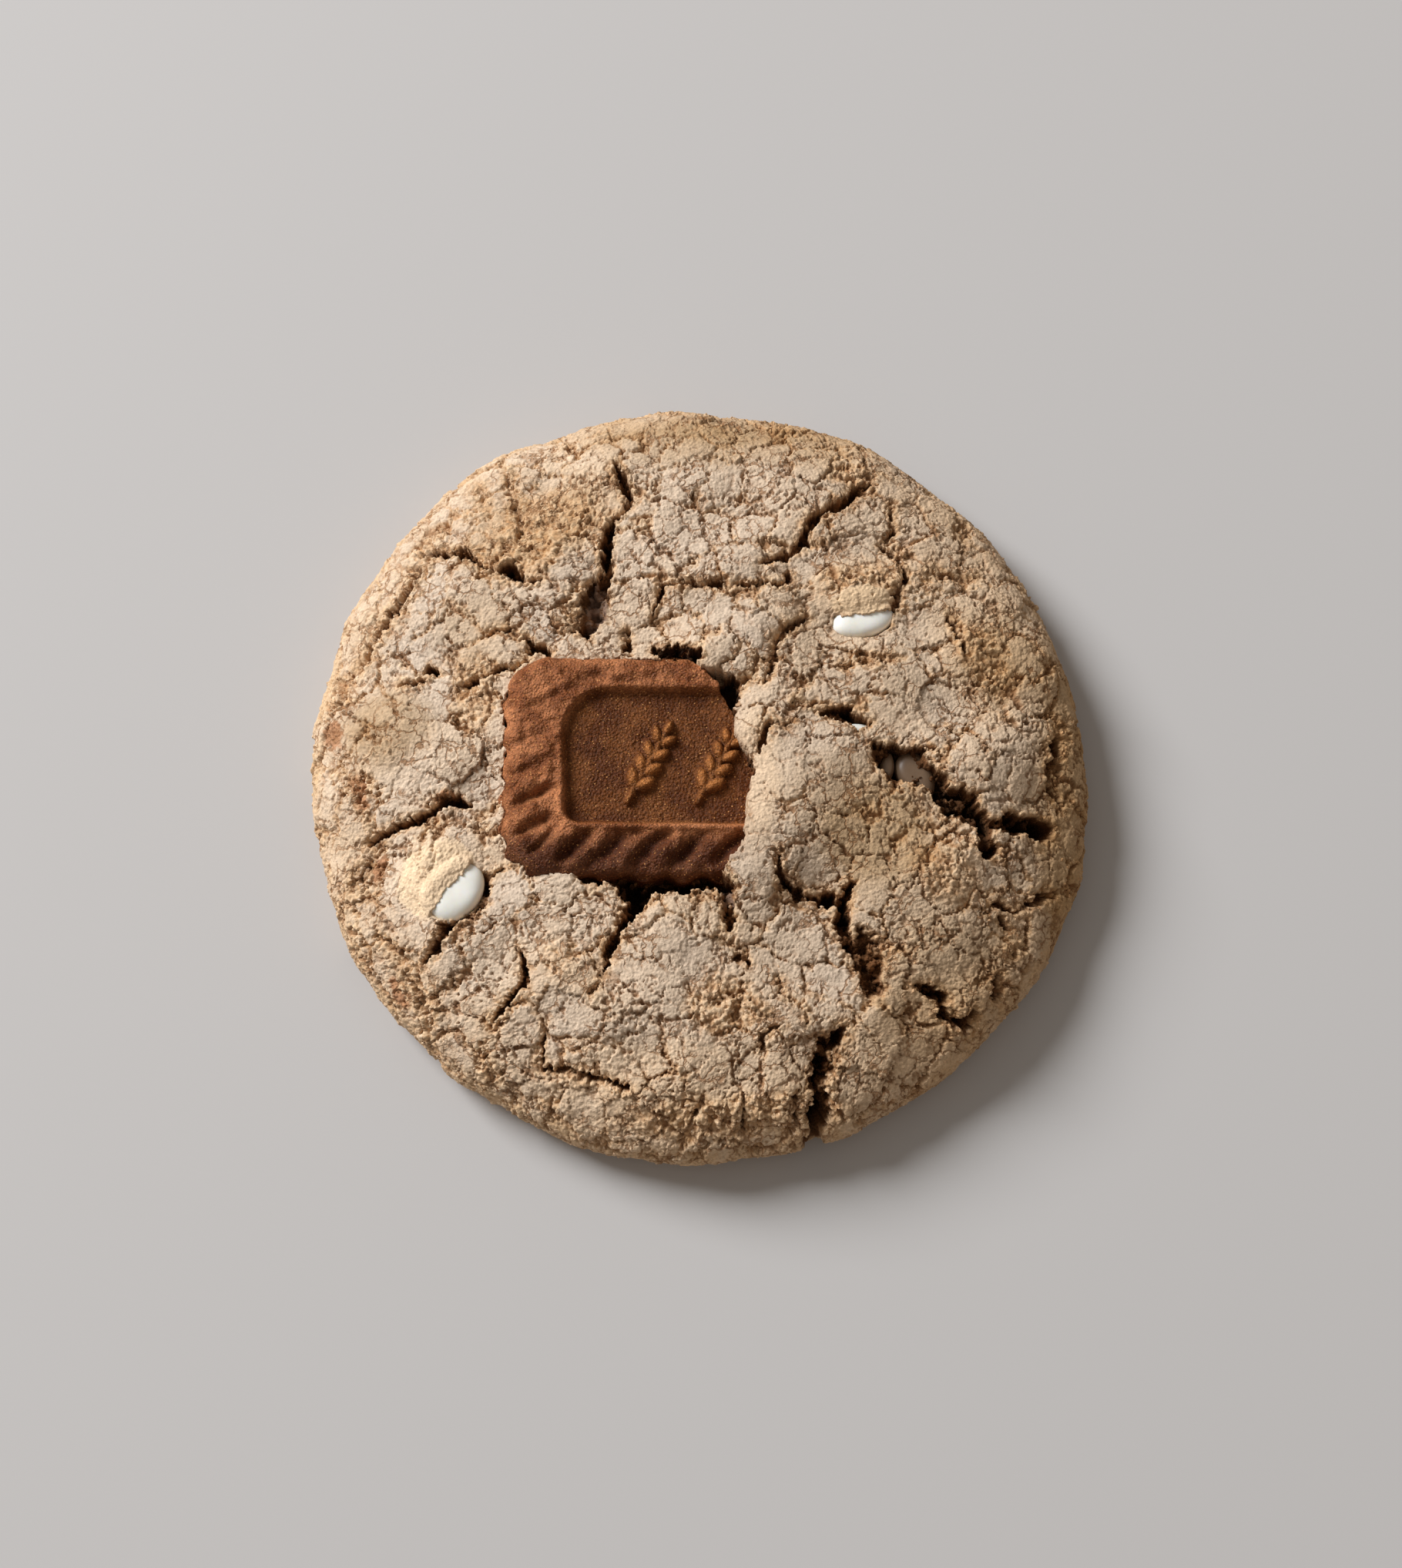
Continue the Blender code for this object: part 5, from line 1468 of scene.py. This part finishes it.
caramel, tree, shader = new_material("Caramelised biscuit", 0.5, 0.2)
grain = add_grain(tree, 3200.0, 2300.0, 0.22)
groove, panel, raised, front, gap = mask_sockets(
    tree, -1400, "groove", "panel", "raised", "front", "gap")
mottle = remap(tree, (-1200, 200), grain.outputs["Mottle"], 0.35, 0.65)
# the panel's lighter colour: real mottle, and a painted highlight on the raised ears
panel_share = calculate(tree, (-1000, -300), "MULTIPLY_ADD", mottle, 0.22, raised)
# pale sugar specks, painted brighter where the tone is high: partly the sugar's own colour, partly
# painted glint
glint = remap(tree, (-850, -100), grain.outputs["Tone"], 0.45, 0.6, 0.1, 0.75)
color = lay_colors(tree, -800, mix_colors(tree, (-1000, 900), mottle, FRAME_BROWN, FRAME_LIGHT), (
    # painted shade in the frame's grooves
    (groove, GROOVE_SHADE_BROWN),
    # painted shade on the lower edge
    (calculate(tree, (-1000, -450), "MULTIPLY", front, 0.75), FRONT_SHADE_BROWN),
    (panel, mix_colors(tree, (-800, 150), panel_share, PANEL_BROWN, PANEL_PALE_AND_HIGHLIGHT)),
    (calculate(tree, (-650, 0), "MULTIPLY", grain.outputs["Speck"], glint), SUGAR_GLINT),
))
tone = remap(tree, (-700, -300), grain.outputs["Tone"], 0.3, 0.7, 0.6, 1.38)
# painted shade: near black over the broken corner under the crust's edge
color = mix_colors(tree, (200, 400), gap, shade_color(tree, (-200, 300), color, tone), GAP_SHADE_DARK)
finish_shader(tree, shader, color, grain.outputs["Height"], 0.9, 0.0003)
biscuit_mesh.materials.append(caramel)
print("biscuit finish:", caramel.name)

# %% [markdown]
# ## Finish of the chips
# White confectionery is smooth, a little waxy and slightly see-through at its edges. A touch
# of subsurface scattering softens its shading, and a faint mottle keeps it from looking like
# plastic. The chips down in the gash have a coat of brown dough, and their brown is also
# painted shade, as they lie in the gash's shadow.

# %% Chip material
WHITE, WHITE_LIGHT, COAT_AND_SHADE_BROWN = (0.89, 0.885, 0.82), (0.94, 0.935, 0.88), (0.20, 0.13, 0.08)

white, tree, shader = new_material("White chip", 0.38, 0.45)
fill(shader, Subsurface_Weight=0.25, Subsurface_Radius=(1.0, 0.8, 0.5), Subsurface_Scale=0.0012)
grain = add_grain(tree, 900.0, 400.0, 0.1)
coat = mask_sockets(tree, -1000, "coat")[0]
mottle = remap(tree, (-900, 200), grain.outputs["Mottle"], 0.35, 0.65)
color = mix_colors(tree, (-600, 200), mottle, WHITE, WHITE_LIGHT)
# painted brown on the chips in the gash: a coat of dough and painted shade
color = mix_colors(tree, (-400, 200), coat, color, COAT_AND_SHADE_BROWN)
finish_shader(tree, shader, color, grain.outputs["Height"], 0.12, 0.0002)
for piece in chip_pieces:
    piece.data.materials.append(white)
print("chips finished:", len(chip_pieces))

# %% [markdown]
# ## Loose crumbs
# Crumbs broke off as the crust split, and stuck in the furrows and on the crevices' walls.
# Thousands of alike things on a surface are a task for Geometry Nodes: points are scattered
# over the skin, more of them where the mask says that it is loose, and a rough little ball is
# set on each. The tree realizes its instances and sets their material, and the result is
# taken over as a plain mesh.

# %% Sockets of the scatter tree
SCATTER_SIZES = {"Crumbs per square metre": 0.98e6, "Smallest": 0.25 * MM, "Largest": 0.7 * MM,
                 "Roughness": 1.1, "Sunk": 0.12 * MM}
scatter = bpy.data.node_groups.new("Scatter crumbs", "GeometryNodeTree")
sockets = [("Geometry", "Geometry"), *((name, "Float") for name in SCATTER_SIZES),
           ("Seed", "Int"), ("Material", "Material")]
for name, kind in sockets:
    scatter.interface.new_socket(name, in_out="INPUT", socket_type="NodeSocket" + kind)
scatter.interface.new_socket("Geometry", in_out="OUTPUT", socket_type="NodeSocketGeometry")
print("inputs of the scatter tree:", ", ".join(name for name, _ in sockets))

# %% Nodes of the scatter tree
FULL_TURN = 6.283
given = new_node(scatter, "NodeGroupInput", (-1200, 0))
result = new_node(scatter, "NodeGroupOutput", (1200, 0))
loose = new_node(scatter, "GeometryNodeInputNamedAttribute", (-1200, -300), data_type="FLOAT")
density = new_node(scatter, "ShaderNodeMath", (-1000, -200), operation="MULTIPLY")
spread = new_node(scatter, "GeometryNodeDistributePointsOnFaces", (-800, 0))
down = new_node(scatter, "ShaderNodeMath", (-1200, 200), operation="MULTIPLY")
sink = new_node(scatter, "ShaderNodeVectorMath", (-1000, 200), operation="SCALE")
lower = new_node(scatter, "GeometryNodeSetPosition", (-650, 100))
ball = new_node(scatter, "GeometryNodeMeshIcoSphere", (-800, -300))
bumps = new_node(scatter, "ShaderNodeTexNoise", (-1400, -900))
centred = new_node(scatter, "ShaderNodeVectorMath", (-1200, -900), operation="SUBTRACT")
sized = new_node(scatter, "ShaderNodeVectorMath", (-1000, -900), operation="SCALE")
push = new_node(scatter, "GeometryNodeSetPosition", (-650, -300))
width = new_node(scatter, "FunctionNodeRandomValue", (-800, -500), data_type="FLOAT")
stretch = new_node(scatter, "FunctionNodeRandomValue", (-1000, -500), data_type="FLOAT_VECTOR")
shape = new_node(scatter, "ShaderNodeVectorMath", (-600, -500), operation="SCALE")
spin = new_node(scatter, "FunctionNodeRandomValue", (-800, -700), data_type="FLOAT_VECTOR")
place_balls = new_node(scatter, "GeometryNodeInstanceOnPoints", (-500, 0))
shade = new_node(scatter, "FunctionNodeRandomValue", (-500, -400), data_type="FLOAT")
keep_shade = new_node(scatter, "GeometryNodeStoreNamedAttribute", (-250, 0), data_type="FLOAT",
                      domain="INSTANCE")
realize = new_node(scatter, "GeometryNodeRealizeInstances", (0, 0))
paint = new_node(scatter, "GeometryNodeSetMaterial", (300, 0))
fill(loose, Name="loose")
fill(keep_shade, Name="grit")
fill(ball, Radius=0.5, Subdivisions=1)
fill(bumps, Scale=1.6)
fill(stretch, Min=(0.6, 0.6, 0.4), Max=(1.3, 1.3, 0.9))
fill(spin, Max=(FULL_TURN, FULL_TURN, FULL_TURN))
down.inputs[1].default_value = -1.0
centred.inputs[1].default_value = (0.5, 0.5, 0.5)
print("nodes of the scatter tree:", len(scatter.nodes))

# %% Links of the scatter tree
SCATTER_LINKS = (
    # scattered points, a little below the surface
    (given, "Geometry", spread, "Mesh"), (loose, "Attribute", density, 0),
    (given, "Crumbs per square metre", density, 1), (density, 0, spread, "Density"),
    (given, "Sunk", down, 0), (spread, "Normal", sink, 0), (down, 0, sink, "Scale"),
    (spread, "Points", lower, "Geometry"), (sink, "Vector", lower, "Offset"),
    # a rough ball
    (bumps, "Color", centred, 0), (centred, "Vector", sized, 0),
    (given, "Roughness", sized, "Scale"), (ball, "Mesh", push, "Geometry"),
    (sized, "Vector", push, "Offset"),
    # its size, stretch, turn and shade
    (given, "Smallest", width, "Min"), (given, "Largest", width, "Max"),
    (stretch, "Value", shape, 0), (width, "Value", shape, "Scale"),
    *((given, "Seed", node, "Seed") for node in (spread, width, stretch, spin, shade)),
    (lower, "Geometry", place_balls, "Points"), (push, "Geometry", place_balls, "Instance"),
    (shape, "Vector", place_balls, "Scale"), (spin, "Value", place_balls, "Rotation"),
    (place_balls, "Instances", keep_shade, "Geometry"), (shade, "Value", keep_shade, "Value"),
    # a plain mesh with its material
    (keep_shade, "Geometry", realize, "Geometry"), (realize, "Geometry", paint, "Geometry"),
    (given, "Material", paint, "Material"), (paint, "Geometry", result, "Geometry"),
)
for source, output, target, socket in SCATTER_LINKS:
    scatter.links.new(source.outputs[output], target.inputs[socket])
print("links of the scatter tree:", len(scatter.links))

# %% Crumb material
crumb_finish, tree, shader = new_material("Loose crumbs", 0.9, 0.15)
grain = add_grain(tree, 3600.0, 900.0, 0.12)
grit, bake_and_shade, depth = mask_sockets(tree, -1300, "grit", "bake_and_shade", "depth")
shade_brown_share, shade_dark_share = depth_shade_shares(tree, -1000, depth)
color = lay_colors(tree, -780, mix_colors(tree, (-1000, 900), grit, GOLD_DEEP, CHALK_WARM), (
    # the browning mask: real browning, and painted shade on the right side
    (bake_and_shade, GOLD_DEEP),
    # painted shade on crumbs down in the crevices
    (shade_brown_share, DEPTH_SHADE_BROWN),
    (shade_dark_share, DEPTH_SHADE_DARK),
))
finish_shader(tree, shader, color, grain.outputs["Height"], 0.5, 0.0002)
print("crumb finish:", crumb_finish.name)

# %% Crumbs on the skin
CRUMB_SEED, CRUMB_TRIANGLES = 4, 20
host_mesh = make_mesh("crumb host", surface, skin_faces[:underside_from])
add_masks(host_mesh, {name: masks[name] for name in ("loose", "depth", "bake_and_shade")})
host = add_object("crumb host", host_mesh)
modifier = host.modifiers.new("Scatter crumbs", "NODES")
modifier.node_group = scatter
identifiers = {item.name: item.identifier for item in scatter.interface.items_tree
               if item.in_out == "INPUT"}
for name, value in {**SCATTER_SIZES, "Seed": CRUMB_SEED, "Material": crumb_finish}.items():
    modifier[identifiers[name]] = value
evaluated = host.evaluated_get(bpy.context.evaluated_depsgraph_get())
crumb_mesh = bpy.data.meshes.new_from_object(evaluated)
host.modifiers.remove(modifier)
bpy.data.objects.remove(host)
bpy.data.meshes.remove(host_mesh)
crumb_mesh.name = "crumbs"
crumb_mesh.shade_smooth()
crumbs = add_object("crumbs", crumb_mesh)
print("crumbs:", len(crumb_mesh.polygons) // CRUMB_TRIANGLES, "with", len(crumb_mesh.polygons),
      "triangles")

# %% [markdown]
# ## Riding and replacing
# The fine skin stands for the solid cookie, and each detailed piece for its own solid.

# %% Riding and replacing
for piece in (*skin_pieces, crumbs):
    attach(piece, "root")
    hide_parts("cookie")
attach(biscuit, "root")
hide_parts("biscuit")
for piece, node in zip(chip_pieces, CHIPS):
    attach(piece, "root")
    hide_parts(node)

# %% [markdown]
# ## Floor, light and camera
# A plain pale floor, one large soft light from the upper left as from a window, and a weak
# fill from all round. The camera looks down at 75 degrees above the horizon, the picture's
# viewing angle, from a distance worked out from the cookie's width in the picture.

# %% Floor
FLOOR_REACH = 30.0
FLOOR_GRAY = (0.54, 0.528, 0.525, 1.0)
floor_mesh = bpy.data.meshes.new("floor")
corners = [(-1, -1), (1, -1), (1, 1), (-1, 1)]
floor_mesh.from_pydata([(FLOOR_REACH * x, FLOOR_REACH * y, 0.0) for x, y in corners], [],
                       [(0, 1, 2, 3)])
floor = add_object("floor", floor_mesh)
floor_finish, tree, shader = new_material("Pale floor", 0.7, 0.3)
fill(shader, Base_Color=FLOOR_GRAY)
floor_mesh.materials.append(floor_finish)
print("floor in m:", 2.0 * FLOOR_REACH, "wide")

# %% Light
WINDOW_BEARING, WINDOW_HEIGHT = math.radians(143.0), math.radians(34.0)
WINDOW_DISTANCE, WINDOW_SIZE, WINDOW_POWER = 2.4, 1.2, 79.0
WINDOW_TINT, ROOM_TINT, ROOM_STRENGTH = (0.98, 0.99, 1.0), (1.0, 0.90, 0.80, 1.0), 0.27
toward = Vector((math.cos(WINDOW_HEIGHT) * math.cos(WINDOW_BEARING),
                 math.cos(WINDOW_HEIGHT) * math.sin(WINDOW_BEARING), math.sin(WINDOW_HEIGHT)))
window_data = bpy.data.lights.new("window", "AREA")
window_data.shape = "DISK"
window_data.size = WINDOW_SIZE
window_data.energy = WINDOW_POWER
window_data.color = WINDOW_TINT
lamp = bpy.data.objects.new("window", window_data)
bpy.context.scene.collection.objects.link(lamp)
lamp.location = toward * WINDOW_DISTANCE
lamp.rotation_euler = toward.to_track_quat("Z", "Y").to_euler()
world = bpy.data.worlds.new("soft room")
world.use_nodes = True
fill(world.node_tree.nodes["Background"], Color=ROOM_TINT, Strength=ROOM_STRENGTH)
bpy.context.scene.world = world
bpy.context.scene.view_settings.view_transform = "Standard"
print("window:", WINDOW_POWER, "W, room:", ROOM_STRENGTH)

# %% Camera
LENS = 70.0
SENSOR = 36.0
ELEVATION = math.radians(75.0)
PICTURE_SIZE = (1820, 2036)
COOKIE_PIXELS = 1008
TARGET_PIXEL = (909.0, 1006.0)
TARGET_Z = 6.0 * MM
focal_pixels = LENS / SENSOR * max(PICTURE_SIZE)
distance = focal_pixels * 2.0 * RADIUS * MM / COOKIE_PIXELS
camera_data = bpy.data.cameras.new("camera")
camera_data.lens = LENS
camera_data.sensor_width = SENSOR
camera_data.shift_x = (0.5 * PICTURE_SIZE[0] - TARGET_PIXEL[0]) / max(PICTURE_SIZE)
camera_data.shift_y = (TARGET_PIXEL[1] - 0.5 * PICTURE_SIZE[1]) / max(PICTURE_SIZE)
camera_data.clip_start = 0.01
camera = bpy.data.objects.new("camera", camera_data)
bpy.context.scene.collection.objects.link(camera)
camera.location = (0.0, -distance * math.cos(ELEVATION), TARGET_Z + distance * math.sin(ELEVATION))
camera.rotation_euler = (0.5 * math.pi - ELEVATION, 0.0, 0.0)
bpy.context.scene.camera = camera
print("camera distance in mm:", round(distance / MM, 1))
